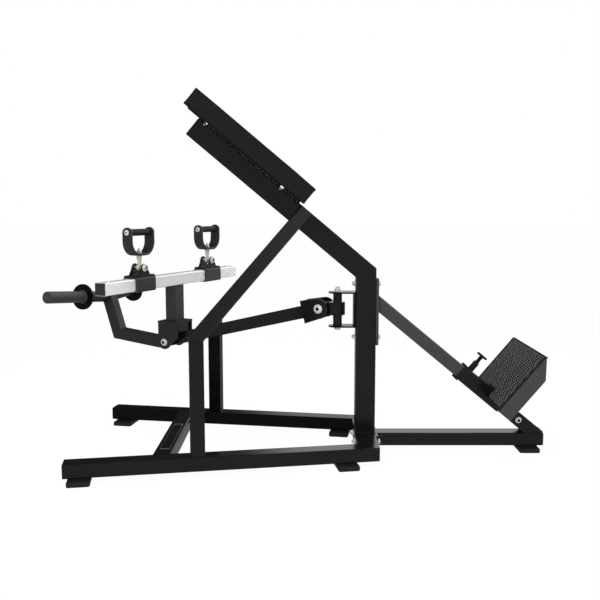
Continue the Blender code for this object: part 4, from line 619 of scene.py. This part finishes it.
def build_pad():
    """The cushion's cover, its two piped seams and the flap at its upper end."""
    cover = piece("pad_cover", [(closed_shape(cushion_grid()), PAD_VINYL)], "frame", 60)
    simulate_cushion(cover)
    cover.data.shade_smooth()
    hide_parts("chest_pad", "pad_board")
    bead = bead_outline(SEAM_RADIUS, SEAM_RADIUS)
    shapes = []
    for up in (SEAM_FROM_BASE, PAD_THICKNESS - PAD_CROWN - SEAM_FROM_TOP):
        outline = rounded_outline(PAD_LENGTH - SEAM_INSET, PAD_WIDTH - SEAM_INSET, PAD_CORNER)
        centre = PAD_MIDDLE + (up - PAD_THICKNESS / 2) * SPINE_UP
        path = centre + outline[:, :1] * SPINE_DOWN + outline[:, 1:] * Y_AXIS
        shapes.append((carried(bead, path, unit_rows(path - centre), SPINE_UP, wrap=True), PAD_VINYL))
    seams = piece("pad_seams", shapes, "frame", 180)
    flap_place = PAD_MIDDLE - SPINE_UP * (PAD_THICKNESS / 2) - SPINE_DOWN * (PAD_LENGTH / 2 - FLAP_INSET)
    outline = rounded_outline(FLAP_LENGTH, PAD_WIDTH - FLAP_SIDE_GAP, 0.003)
    flap = slab(outline, flap_place, SPINE_DOWN, Y_AXIS, FLAP_DEPTH, FLAP_DEPTH / 4)
    strip = piece("pad_flap", [(flap, PAD_VINYL)], "frame")


# Lever, handles and horns, in the lever's own measures
LIFT_L = 0.0657
LIFT_Z = 0.5633
LIFT_HALF = 0.040
BAR_L = 0.764
BAR_TOP_Z = 0.67498
SADDLE_BOLT_L = 0.784
SADDLE_BOLT_Z = 0.38067
SADDLE_HALF = 0.056
CLEVIS_HALF = 0.025
STRAP_DEPTH = 0.010
STRAP_HALF_WIDTH = 0.0225
STRAP_HALF_SPAN = 0.071
STRAP_BEND = 0.052
STRAP_HEAD_RISE = 0.020
STRAP_HEAD_TURN = math.radians(89)
STRAP_RIM = 0.0018
STRAP_STEPS = 15
GRIP_HEIGHT = 0.093
GRIP_RADIUS = 0.0138
GRIP_SHOULDER = 0.0015
GRIP_RING_STARTS = (0.004, 0.009)
GRIP_RING_DEPTH = 0.0006
GRIP_SCREW = (0.011, 0.006)
GRIP_SHANK = 0.005
EYE_RADIUS = 0.01045
EYE_SECTION = (0.0055, 0.0070)
HORN_L = 1.123
HORN_Z = 0.55701
HORN_TILT = math.radians(5.1)
HORN_RADIUS = 0.025
HORN_RIM = 0.003
HORN_RIM_START = 0.3855
HORN_FLANGE = [(0.0215, 0.16756), (0.0545, 0.16756), (0.0555, 0.1686), (0.0555, 0.1768), (0.0545, 0.1778),
               (0.0300, 0.1778), (0.0215, 0.1778)]
HORN_FILLET = [(0.0215, 0.1770), (0.0300, 0.1776), (0.0278, 0.1784), (0.0262, 0.1798), (0.0250, 0.1825)]
HORN_END = [(0.0200, 0.38854), (0.0196, 0.3868), (0.0182, 0.3868), (0.0178, 0.38854), (0.0060, 0.3887)]

# Footplate and pull pin, in the measures of the tail tube
SOCKET_BOLT_S = 0.717
SOCKET_HALF = 0.0313
TREAD_S = 0.566
SHEET_DEPTH = 0.004
SHEET_EDGE = 0.0012
SHEET_LOW = -0.009
SHEET_HIGH = 0.248
SHEET_HALF = 0.2175
SHEET_NOTCH = 0.031
SHEET_CORNER = (0.002, 0.006)
DASH_PITCH_ACROSS = 0.0335
DASH_PITCH_UP = 0.0082
DASH_SIZE = (0.0270, 0.0026, 0.0009)
DASH_TOP_SHARE = (0.9, 0.7)
DASH_ANGLE = math.radians(9)
DASH_WAVE = 0.0060
DASH_WAVE_ROWS = 5
PLUNGER_S = 0.448
PLUNGER = [(0.0040, 0.0256), (0.0050, 0.0266), (0.0050, 0.0653), (0.0114, 0.0653), (0.0120, 0.0659),
           (0.0120, 0.0697), (0.0114, 0.0703), (0.0082, 0.0703), (0.0080, 0.0715), (0.0072, 0.0840),
           (0.0080, 0.0960), (0.0080, 0.0975)]
KNOB_FOOT = [(0.0095, 0.0965)]
KNOB_RIM = (0.0195, 0.1015, 0.0035, 0.0045)
KNOB_DISH = [(0.0150, 0.1056), (0.0080, 0.1052)]

# Bolts: (clamped length, shank radius, head radius, head height, washer radius, nut height); a head's radius is
# half its width across the corners
WASHER = 0.002
WASHER_EASE = 0.0004
SOCKET_SHARE = 0.68
SOCKET_DEPTH = 0.0050
HEAD_CHAMFER = 0.0012
HEAD_HEIGHT = 0.0075
NUT_HEIGHT = 0.010
FACE_SHARE = 0.93
NUT_FLATS_SHARE = 0.62
NUT_DOME = ((0.80, 0.70), (0.74, 0.94))
THREAD_EASE = 0.0008
PIVOT_LOW, PIVOT_HIGH = (corner[2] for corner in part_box("pivot_bracket"))
BOLT_SIZES = {
    "pivot_pin": (PIVOT_HIGH - PIVOT_LOW, 0.008, 0.0120, 0.010, 0.0150, 0.015),
    "lift_bolt": (2 * LIFT_HALF, 0.008, 0.0120, HEAD_HEIGHT, 0.0178, NUT_HEIGHT),
    "tail_bolt": (0.0877, 0.006, 0.0105, HEAD_HEIGHT, 0.0125, NUT_HEIGHT),
    "clevis_bolt": (2 * CLEVIS_HALF, 0.005, 0.0125, 0.008, 0.0155, NUT_HEIGHT),
    "diagonal_bolt": (0.0883, 0.006, 0.0105, HEAD_HEIGHT, 0.0125, NUT_HEIGHT),
    "socket_bolt": (2 * SOCKET_HALF, 0.006, 0.0095, HEAD_HEIGHT, 0.0120, NUT_HEIGHT),
    "saddle_bolt": (2 * SADDLE_HALF, 0.006, 0.0120, HEAD_HEIGHT, 0.0150, HEAD_HEIGHT),
}
SPACER_SPANS = ((0.0083, 0.0317), (0.0803, 0.1037))
SPACER_RADII = (0.0060, 0.0118, 0.0122)

# Button screws: shares of the radius and the height
BUTTON_SINK = 0.0003
BUTTON_EDGE = 0.0008
BUTTON_TURN = math.radians(68)
BUTTON_HOLE = 0.34
BUTTON_FLOOR = 0.335
BUTTON_DEPTH = 0.45


def bolt_shapes(face, axis, clamp, shank, head, height, washer, nut_height):
    """A through bolt: chamfered hexagon head with a socket, washers, shank, lock nut with a domed end."""
    flats = head * math.cos(math.pi / 6)
    socket = flats * SOCKET_SHARE
    eased = washer - WASHER_EASE
    seat = -GAP - WASHER
    top = seat - height
    end = clamp + GAP + WASHER
    flats_end = end + nut_height * NUT_FLATS_SHARE
    tip = end + nut_height + shank / 3
    profile = [
        (socket, top + SOCKET_DEPTH, 1), (socket, top, 1), (flats * FACE_SHARE, top),
        (flats, top + HEAD_CHAMFER, 1), (flats, seat, 1), (eased, seat), (washer, seat + WASHER_EASE),
        (washer, -GAP - WASHER_EASE), (eased, -GAP), (shank, -GAP), (shank, clamp + GAP), (eased, clamp + GAP),
        (washer, clamp + GAP + WASHER_EASE), (washer, end - WASHER_EASE), (eased, end), (flats, end, 1),
        (flats, flats_end - HEAD_CHAMFER, 1), (flats * FACE_SHARE, flats_end),
        *((flats * wide, end + nut_height * high) for wide, high in NUT_DOME),
        (shank + 0.0006, end + nut_height), (shank, end + nut_height * 0.9),
        (shank, tip - THREAD_EASE), (shank - THREAD_EASE, tip),
    ]
    # A thin dark disc just above the socket's floor: painted shade in the recess
    floor = [(socket * 0.99, top + SOCKET_DEPTH - 0.0006, 1), (socket * 0.99, top + SOCKET_DEPTH - 0.0001, 1)]
    return [(turned(profile, face, axis), BOLT_STEEL), (turned(floor, face, axis), PIN_STEEL_AND_SOCKET_SHADE)]


def button_shapes(face, axis, radius, height):
    """A domed screw head on a face: radius times cos, height times sin of a quarter turn, and its socket."""
    dome = arc(0, BUTTON_EDGE, radius, height - BUTTON_EDGE, np.linspace(0, BUTTON_TURN, 8))
    top = dome[-1][1]
    low = top - height * BUTTON_DEPTH
    hollow = [(radius * BUTTON_HOLE, top, 1), (radius * BUTTON_HOLE, low, 1)]
    profile = [(radius, -BUTTON_SINK)] + dome + hollow
    # A thin dark disc just above the socket's floor: painted shade in the recess
    floor = [(radius * BUTTON_FLOOR, low + 0.0001, 1), (radius * BUTTON_FLOOR, low + 0.0005, 1)]
    return [(turned(profile, face, axis), BOLT_STEEL), (turned(floor, face, axis), PIN_STEEL_AND_SOCKET_SHADE)]


def head_place(node, like):
    """Place under a bolt's head: the node's middle, its x worked out from the end of a like bolt's box."""
    place = middle_of(node)
    place[0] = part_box(like)[1][0] - GAP - WASHER - HEAD_HEIGHT
    return place


def bolt_places():
    """Each bolt of the CAD: its node, its body, the place under its head and its direction."""
    rows = [("pivot_pin", "frame", PIN + Z_AXIS * PIVOT_LOW, Z_AXIS),
            ("lift_bolt", "lever", lever_point(LIFT_L, -LIFT_HALF, LIFT_Z), ACROSS)]
    for label, _ in SIDES:
        tail, clevis = "tail_bolt_" + label, "clevis_bolt_" + label
        rows.append((tail, "frame", head_place(tail, "tail_bolt_near"), -X_AXIS))
        lug_face = joint_place(label + "_handle_tilt") - ALONG * CLEVIS_HALF
        rows.append((clevis, label + "_carriage", lug_face, ALONG))
    for node in ("diagonal_bolt_upper", "diagonal_bolt_lower"):
        rows.append((node, "frame", head_place(node, "diagonal_bolt_upper"), -X_AXIS))
    rows.append(("socket_bolt", "frame", tail_point(SOCKET_BOLT_S, 0, -SOCKET_HALF), Y_AXIS))
    rows.append(("saddle_bolt", "lever", lever_point(SADDLE_BOLT_L, -SADDLE_HALF, SADDLE_BOLT_Z), ACROSS))
    return rows


def build_bolts():
    """Every bolt of the CAD, with its washers, socket and lock nut, and the saddle bolt's two spacers."""
    for node, body, place, axis in bolt_places():
        kind = next(kind for kind in BOLT_SIZES if node.startswith(kind))
        shapes = bolt_shapes(place, axis, *BOLT_SIZES[kind])
        if node == "saddle_bolt":
            bore, eased, outer = SPACER_RADII
            for low, high in SPACER_SPANS:
                spacer = [(bore, low), (eased, low), (outer, low + WASHER_EASE), (outer, high - WASHER_EASE),
                          (eased, high), (bore, high)]
                shapes.append((turned(spacer, place, axis), BOLT_STEEL))
        item = piece(node + "_fine", shapes, body, 30)
        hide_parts(node)


def strap_rows(place):
    """Middle line of the bent strap and its normals: a quarter circle of the bend radius at each side, and
    above it a head that rises by sin while its half width falls by cos."""
    bend = quarter_turn(STRAP_STEPS)
    head = np.linspace(0, STRAP_HEAD_TURN, STRAP_STEPS)[1:]
    low = STRAP_DEPTH / 2
    e = np.concatenate([STRAP_HALF_SPAN - STRAP_BEND * (1 - np.sin(bend)), np.full(len(head), STRAP_HALF_SPAN)])
    z = np.concatenate([low + STRAP_BEND * (1 - np.cos(bend)), GRIP_HEIGHT + STRAP_HEAD_RISE * np.sin(head)])
    turn = np.concatenate([bend, np.full(len(head), math.pi / 2)])
    width = np.concatenate([np.full(len(bend), 1.0), np.cos(head)])
    e = np.concatenate([-e[::-1], e])
    z = np.concatenate([z[::-1], z])
    turn = np.concatenate([-turn[::-1], turn])
    width = np.concatenate([width[::-1], width])
    path = place + e[:, None] * ACROSS + z[:, None] * Z_AXIS
    normals = np.cos(turn)[:, None] * Z_AXIS - np.sin(turn)[:, None] * ACROSS
    return path, normals, width


def build_strap(label, place):
    """The strap handle, its rims rounded."""
    path, normals, width = strap_rows(place)
    outlines = [rounded_outline(2 * half, STRAP_DEPTH, min(STRAP_RIM, half * 0.9), 3)
                for half in STRAP_HALF_WIDTH * width]
    strap = piece("strap_" + label, [(carried(np.stack(outlines), path, ALONG, normals), STRAP_PAINT)],
                  label + "_handle", 35)
    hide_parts("handle_strap_" + label)


def build_grip(label, place):
    """The rubber grip with rounded shoulders, shallow rings near its ends, and a button screw at each end."""
    centre = place + Z_AXIS * GRIP_HEIGHT
    half = STRAP_HALF_SPAN - STRAP_DEPTH / 2 - GAP
    eased = GRIP_SHOULDER
    shoulder = arc(GRIP_RADIUS - eased, half - eased, eased, eased, quarter_turn(5))
    groove = GRIP_RADIUS - GRIP_RING_DEPTH
    rings = []
    for start in GRIP_RING_STARTS:
        rings += [(GRIP_RADIUS, half - start), (groove, half - start - 0.0005),
                  (groove, half - start - 0.0015), (GRIP_RADIUS, half - start - 0.0020)]
    right = rings[::-1] + shoulder + [(0.006, half)]
    profile = [(radius, -distance) for radius, distance in reversed(right)] + right
    outer = STRAP_HALF_SPAN + STRAP_DEPTH / 2 + GAP
    shapes = [(turned(profile, centre, ACROSS), GRIP_RUBBER)]
    for side in (1, -1):
        shapes += button_shapes(centre + ACROSS * outer * side, ACROSS * side, *GRIP_SCREW)
    shapes.append((turned([(GRIP_SHANK, -outer), (GRIP_SHANK, outer)], centre, ACROSS), BOLT_STEEL))
    grip = piece("grip_fine_" + label, shapes, label + "_grip", 35)
    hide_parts("grip_" + label)


def build_eye(label, place):
    """The swivel eye: a ring of round section on the clevis bolt, its neck and collar, and the nut on top."""
    axis_place = joint_place(label + "_handle_tilt")
    section = arc(EYE_RADIUS, 0, *EYE_SECTION, full_turn(20))
    rise = place[2] - axis_place[2]
    neck = [(0.0076, 0.0125), (0.0078, rise * 0.42), (0.0092, rise * 0.62), (0.0108, rise - 0.0065),
            (0.0110, rise - 0.0058), (0.0110, rise - 0.0010), (0.0104, rise - GAP), (0.005, rise - GAP),
            (0.005, rise + STRAP_DEPTH + 0.018), (0.0042, rise + STRAP_DEPTH + 0.0188)]
    low = rise + STRAP_DEPTH + GAP
    nut = [(0.005, low), (0.0095, low, 1), (0.0095, low + 0.0085, 1), (0.0088, low + 0.0095),
           (0.0076, low + 0.0100), (0.0070, low + 0.0130), (0.0052, low + 0.0134)]
    ring = closed_shape(turned_grid(section, axis_place, ALONG), wrap_rows=True)
    shapes = [(ring, YELLOW_ZINC), (turned(neck, axis_place, Z_AXIS), YELLOW_ZINC),
              (turned(nut, axis_place, Z_AXIS), BOLT_STEEL)]
    eye = piece("eye_" + label, shapes, label + "_eye", 35)
    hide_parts("swivel_eye_" + label)


def build_handles():
    """Both handles: eye, strap and grip."""
    for label, _ in SIDES:
        place = joint_place(label + "_handle_swivel")
        build_eye(label, place)
        build_strap(label, place)
        build_grip(label, place)


def build_horns():
    """The weight horns: flange with eased rims, a weld fillet, sleeve, and an end disc set in a rounded rim."""
    centre = lever_point(HORN_L, 0, HORN_Z)
    rim = arc(HORN_RADIUS - HORN_RIM, HORN_RIM_START, HORN_RIM, HORN_RIM, quarter_turn(6))
    for label, side in SIDES:
        out = ACROSS * side * math.cos(HORN_TILT) + Z_AXIS * math.sin(HORN_TILT)
        # The flange takes the darker copy of the frame paint, as painted shade
        shapes = [(turned(HORN_FLANGE, centre, out), SHADED_FRAME_PAINT),
                  (turned(HORN_FILLET + rim + HORN_END, centre, out), STEP_PAINT)]
        horn = piece("horn_" + label, shapes, "lever", 30)
        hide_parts("weight_horn_" + label)


def dash_shapes(centres, signs):
    """Raised dashes, one for each centre: an eased bar turned by the angle times the sign."""
    outline = rounded_outline(DASH_SIZE[0], DASH_SIZE[1], DASH_SIZE[1] * 0.45, 2)
    rings = np.concatenate([outline, outline * DASH_TOP_SHARE])
    count = len(outline)
    turn = DASH_ANGLE * signs[:, None]
    x = rings[None, :, 0] * np.cos(turn) - rings[None, :, 1] * np.sin(turn) + centres[:, :1]
    y = rings[None, :, 0] * np.sin(turn) + rings[None, :, 1] * np.cos(turn) + centres[:, 1:]
    rise = np.concatenate([np.zeros(count), np.full(count, DASH_SIZE[2])])
    face = tail_point(TREAD_S - SHEET_DEPTH - GAP, 0)
    points = face + x[..., None] * Y_AXIS + y[..., None] * TAIL_UP - rise[None, :, None] * TAIL_DOWN
    template = grid_faces(2, count, False) + [list(range(count)), list(range(count, 2 * count))[::-1]]
    starts = np.arange(len(centres)) * 2 * count
    faces = [[index + start for index in face_row] for start in starts.tolist() for face_row in template]
    return points.reshape(-1, 3), faces


def build_tread():
    """The rubber sheet on the footplate, notched for the sleeve, with rows of raised dashes."""
    small, large = SHEET_CORNER
    right = [(SHEET_NOTCH, SHEET_NOTCH), (SHEET_NOTCH, SHEET_LOW), (SHEET_HALF, SHEET_LOW),
             (SHEET_HALF, SHEET_HIGH - large), (SHEET_HALF - small, SHEET_HIGH - small),
             (SHEET_HALF - large, SHEET_HIGH)]
    left = [(-x, y) for x, y in right[::-1]]
    outline = np.array(left[3:] + right + left[:3])
    middle = np.array((0, (SHEET_LOW + SHEET_HIGH) / 2))
    face = tail_point(TREAD_S - GAP - SHEET_DEPTH / 2, middle[1])
    sheet = slab(outline - middle, face, Y_AXIS, TAIL_UP, SHEET_DEPTH, SHEET_EDGE)
    across = np.arange(-0.1905, 0.195, DASH_PITCH_ACROSS)
    up = np.arange(0.001, 0.242, DASH_PITCH_UP)
    columns, rows = np.meshgrid(np.arange(len(across)), np.arange(len(up)))
    wave = DASH_WAVE * np.sin(rows * 2 * math.pi / DASH_WAVE_ROWS)
    centres = np.stack([across[columns] + wave, up[rows]], axis=-1).reshape(-1, 2)
    signs = np.where(columns % 2 == 0, 1.0, 0.4).reshape(-1)
    clear = (np.abs(centres[:, 0]) > SHEET_NOTCH + 0.016) | (centres[:, 1] > SHEET_NOTCH + 0.005)
    dashes = dash_shapes(centres[clear], signs[clear])
    item = piece("tread_sheet", [(sheet, TREAD_RUBBER), (dashes, TREAD_BAR)], "footplate", 30)


def build_pull_pin():
    """The pull pin: pin, ring with eased rims, waisted stem and a round knob, dished on top."""
    place = tail_point(PLUNGER_S, 0)
    rim = arc(*KNOB_RIM, np.linspace(-math.pi / 2, math.pi / 2, 9))
    shapes = [(turned(PLUNGER, place, TAIL_UP), PIN_STEEL_AND_SOCKET_SHADE),
              (turned(KNOB_FOOT + rim + KNOB_DISH, place, TAIL_UP), BLACK_PLASTIC)]
    item = piece("pull_pin_fine", shapes, "pull_pin", 35)
    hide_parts("pull_pin")


# Border line of the plate, small screws and welds
BORDER_INSET = 0.005
BORDER_CORNER = 0.003
BORDER_SECTION = (0.0009, 0.0004)
STOP_REACH = 0.440
STOP_SCREW = (0.006, 0.004)
STRIP_SCREW = (0.0036, 0.0020)
STRIP_ALONG = (0.4601, 0.8314)
STRIP_UP = 0.0335
STRIP_ACROSS = 0.034
WELD_STEP = 0.0016
WELD_PITCH = 0.005
WELD_SWELL = 0.12
WELD_RADIUS = 0.0022
FOOT_HALVES = (0.039, 0.034)
TAIL_TUBE_HALF = 0.025
TAIL_PLATE = 0.010
TAIL_WELD_RADIUS = 0.0024
ARM_FALL = math.radians(14.04)
ARM_START = 0.0684
ARM_HALVES = (0.024, 0.025)


def build_plate_border():
    """A fine raised line round the bare plate, set in from its rim."""
    low, high = (np.array(corner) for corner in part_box("bare_plate"))
    size = high - low
    middle = (low + high) / 2
    outline = rounded_outline(size[0] - BORDER_INSET, size[1] - BORDER_INSET, BORDER_CORNER)
    path = np.column_stack([middle[:2] + outline, np.full(len(outline), high[2])])
    outward = unit_rows(np.column_stack([outline, np.zeros(len(outline))]))
    line = carried(bead_outline(*BORDER_SECTION), path, outward, Z_AXIS, wrap=True)
    item = piece("plate_border", [(line, BORDER_LINE)], "frame", 60)


def build_stop_screws():
    """Small screws: stops near the bar's ends, and on the backbone by the ends of the pad."""
    shapes = []
    for reach in (-STOP_REACH, STOP_REACH):
        shapes += button_shapes(lever_point(BAR_L, reach, BAR_TOP_Z), Z_AXIS, *STOP_SCREW)
    item = piece("stop_screws", shapes, "lever", 35)
    shapes = []
    for along in STRIP_ALONG:
        for _, side in SIDES:
            place = spine_point(along, STRIP_UP, side * STRIP_ACROSS)
            shapes += button_shapes(place, Y_AXIS * side, *STRIP_SCREW)
    item = piece("strip_screws", shapes, "frame", 35)


def weld(corners, radius):
    """A weld bead round a closed path: its radius rises and falls along it as a sine of the weld's pitch."""
    corners = np.asarray(corners, float)
    ends = np.roll(corners, -1, axis=0)
    lengths = np.linalg.norm(ends - corners, axis=1)
    steps = [np.linspace(0, 1, max(int(length / WELD_STEP), 2), endpoint=False) for length in lengths]
    path = np.concatenate([a + (b - a) * t[:, None] for a, b, t in zip(corners, ends, steps)])
    normal = unit(np.cross(corners[1] - corners[0], corners[2] - corners[1]))
    outward = unit_rows(path - corners.mean(axis=0))
    place = np.concatenate([[0], np.cumsum(np.linalg.norm(np.diff(path, axis=0), axis=1))])
    swell = radius * (1 + WELD_SWELL * np.sin(place * 2 * math.pi / WELD_PITCH))
    outlines = bead_outline(1, 1)[None, :, :] * swell[:, None, None]
    return carried(outlines, path, outward, normal, wrap=True)


def rectangle_path(place, u, v, half_u, half_v):
    """Four corners of a rectangle about a place."""
    return [place + u * a * half_u + v * b * half_v for a, b in ((-1, -1), (1, -1), (1, 1), (-1, 1))]


def build_welds():
    """Weld beads: round the upright's foot, round the tail tube on its plate, and round the arm on its fork."""
    foot = UPRIGHT + Z_AXIS * (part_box("upright")[0][2] + 0.0008)
    foot_weld = weld(rectangle_path(foot, X_AXIS, Y_AXIS, *FOOT_HALVES), WELD_RADIUS)
    plate_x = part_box("tail_diagonal")[0][0] + TAIL_PLATE
    start = tail_point((plate_x - TAIL_START[0]) / TAIL_DOWN[0], 0)
    rise = TAIL_TUBE_HALF / TAIL_UP[2]
    tail_weld = weld(rectangle_path(start, Z_AXIS, Y_AXIS, rise, TAIL_TUBE_HALF), TAIL_WELD_RADIUS)
    item = piece("frame_welds", [(foot_weld, FRAME_PAINT), (tail_weld, FRAME_PAINT)], "frame", 60)
    up = Z_AXIS * math.cos(ARM_FALL) + ALONG * math.sin(ARM_FALL)
    base = lever_point(LIFT_L, 0, LIFT_Z) + (ALONG - Z_AXIS * math.tan(ARM_FALL)) * ARM_START
    arm_weld = weld(rectangle_path(base, ACROSS, up, *ARM_HALVES), WELD_RADIUS)
    item = piece("lever_welds", [(arm_weld, LEVER_PAINT)], "lever", 60)


def smooth_step(tree, source, **limits):
    """A smooth step of a value between limits, from one end value to the other."""
    node = add_node(tree, "ShaderNodeMapRange", interpolation_type="SMOOTHSTEP", **limits)
    join(tree, (source, node.inputs["Value"]))
    return node


def studio_level(tree, direction):
    """How bright the studio is to a glossy ray: bright where the unit direction's sideways share passes a
    threshold, else low behind the machine and a little higher on the camera's side."""
    unit_direction = add_node(tree, "ShaderNodeVectorMath", operation="NORMALIZE")
    side = add_node(tree, "ShaderNodeVectorMath", operation="DOT_PRODUCT")
    side.inputs[1].default_value = STUDIO_SIDE
    split = add_node(tree, "ShaderNodeSeparateXYZ")
    join(tree, (direction, unit_direction.inputs[0]), (unit_direction.outputs[0], side.inputs[0]),
         (unit_direction.outputs[0], split.inputs[0]))
    low = smooth_step(tree, split.outputs["Y"], From_Min=-0.3, From_Max=0.3, To_Min=0.30, To_Max=0.03)
    step = smooth_step(tree, side.outputs["Value"], From_Min=0.26, From_Max=0.34, To_Max=1.0)
    join(tree, (low.outputs["Result"], step.inputs["To Min"]))
    return step.outputs["Result"]


def ray_kinds(tree):
    """Two sockets: 1 for rays that see the backdrop, straight or through something, and 1 for glossy rays."""
    path = add_node(tree, "ShaderNodeLightPath")
    seen = add_node(tree, "ShaderNodeMath", operation="MAXIMUM")
    join(tree, (path.outputs["Is Camera Ray"], seen.inputs[0]),
         (path.outputs["Is Transmission Ray"], seen.inputs[1]))
    return seen.outputs[0], path.outputs["Is Glossy Ray"]


def build_floor():
    """A pale floor: white where seen, dimmer to glossy rays, and a little of its shaded colour."""
    material = bpy.data.materials.new("floor")
    material.use_nodes = True
    tree = material.node_tree
    tree.nodes.clear()
    seen, glossy = ray_kinds(tree)
    clear = add_node(tree, "ShaderNodeMath", operation="MAXIMUM")
    share = add_node(tree, "ShaderNodeMath", operation="MULTIPLY")
    share.inputs[1].default_value = FLOOR_SHARE
    level = add_node(tree, "ShaderNodeMix", data_type="FLOAT")
    level.inputs[2].default_value = 1.0
    level.inputs[3].default_value = FLOOR_GLOSS
    diffuse = add_node(tree, "ShaderNodeBsdfDiffuse", Color=FLOOR_COLOUR)
    glow = add_node(tree, "ShaderNodeEmission", Color=WHITE)
    mix = add_node(tree, "ShaderNodeMixShader")
    output = add_node(tree, "ShaderNodeOutputMaterial")
    join(tree, (seen, clear.inputs[0]), (glossy, clear.inputs[1]), (clear.outputs[0], share.inputs[0]),
         (glossy, level.inputs[0]), (level.outputs[0], glow.inputs["Strength"]),
         (share.outputs[0], mix.inputs[0]), (diffuse.outputs[0], mix.inputs[1]),
         (glow.outputs[0], mix.inputs[2]), (mix.outputs[0], output.inputs["Surface"]))
    mesh = bpy.data.meshes.new("floor")
    corners = [(x * FLOOR_REACH, y * FLOOR_REACH, 0) for x, y in ((-1, -1), (1, -1), (1, 1), (-1, 1))]
    mesh.from_pydata(corners, [], [(0, 1, 2, 3)])
    mesh.materials.append(material)
    floor = add_object("floor", mesh)


def build_world():
    """White to the camera, the studio's level to glossy rays, and a plain level to diffuse rays."""
    world = bpy.data.worlds.new("studio")
    bpy.context.scene.world = world
    world.use_nodes = True
    tree = world.node_tree
    tree.nodes.clear()
    coordinates = add_node(tree, "ShaderNodeTexCoord")
    seen, glossy = ray_kinds(tree)
    unseen = add_node(tree, "ShaderNodeMix", data_type="FLOAT")
    unseen.inputs[2].default_value = AMBIENT_LEVEL
    final = add_node(tree, "ShaderNodeMix", data_type="FLOAT")
    final.inputs[3].default_value = 1.0
    background = add_node(tree, "ShaderNodeBackground", Color=WHITE)
    output = add_node(tree, "ShaderNodeOutputWorld")
    join(tree, (glossy, unseen.inputs[0]),
         (studio_level(tree, coordinates.outputs["Generated"]), unseen.inputs[3]), (seen, final.inputs[0]),
         (unseen.outputs[0], final.inputs[2]), (final.outputs[0], background.inputs["Strength"]),
         (background.outputs[0], output.inputs["Surface"]))


def add_lamp(name, place, size, power):
    """A square area lamp that looks at the machine's middle."""
    data = bpy.data.lights.new(name, "AREA")
    data.shape = "SQUARE"
    data.size = size
    data.energy = power
    lamp = add_object(name, data)
    lamp.location = place
    lamp.rotation_euler = (Vector(LAMP_TARGET) - Vector(place)).to_track_quat("-Z", "Y").to_euler()
    lamp.visible_glossy = False


def build_camera():
    """The camera at the photograph's place, level sideways and pitched down."""
    data = bpy.data.cameras.new("camera")
    data.lens = CAMERA_LENS
    data.sensor_width = SENSOR_WIDTH
    camera = add_object("camera", data)
    camera.location = Vector(UPRIGHT) + Vector(CAMERA_OFFSET)
    camera.rotation_euler = (math.pi / 2 - CAMERA_PITCH, 0, 0)
    bpy.context.scene.camera = camera
    bpy.context.scene.view_settings.view_transform = "Standard"


build_camera()
build_floor()
build_world()
for lamp_row in LAMPS:
    add_lamp(*lamp_row)
finish_nodes()
build_pad()
build_bolts()
build_handles()
build_horns()
build_tread()
build_pull_pin()
build_plate_border()
build_stop_screws()
build_welds()
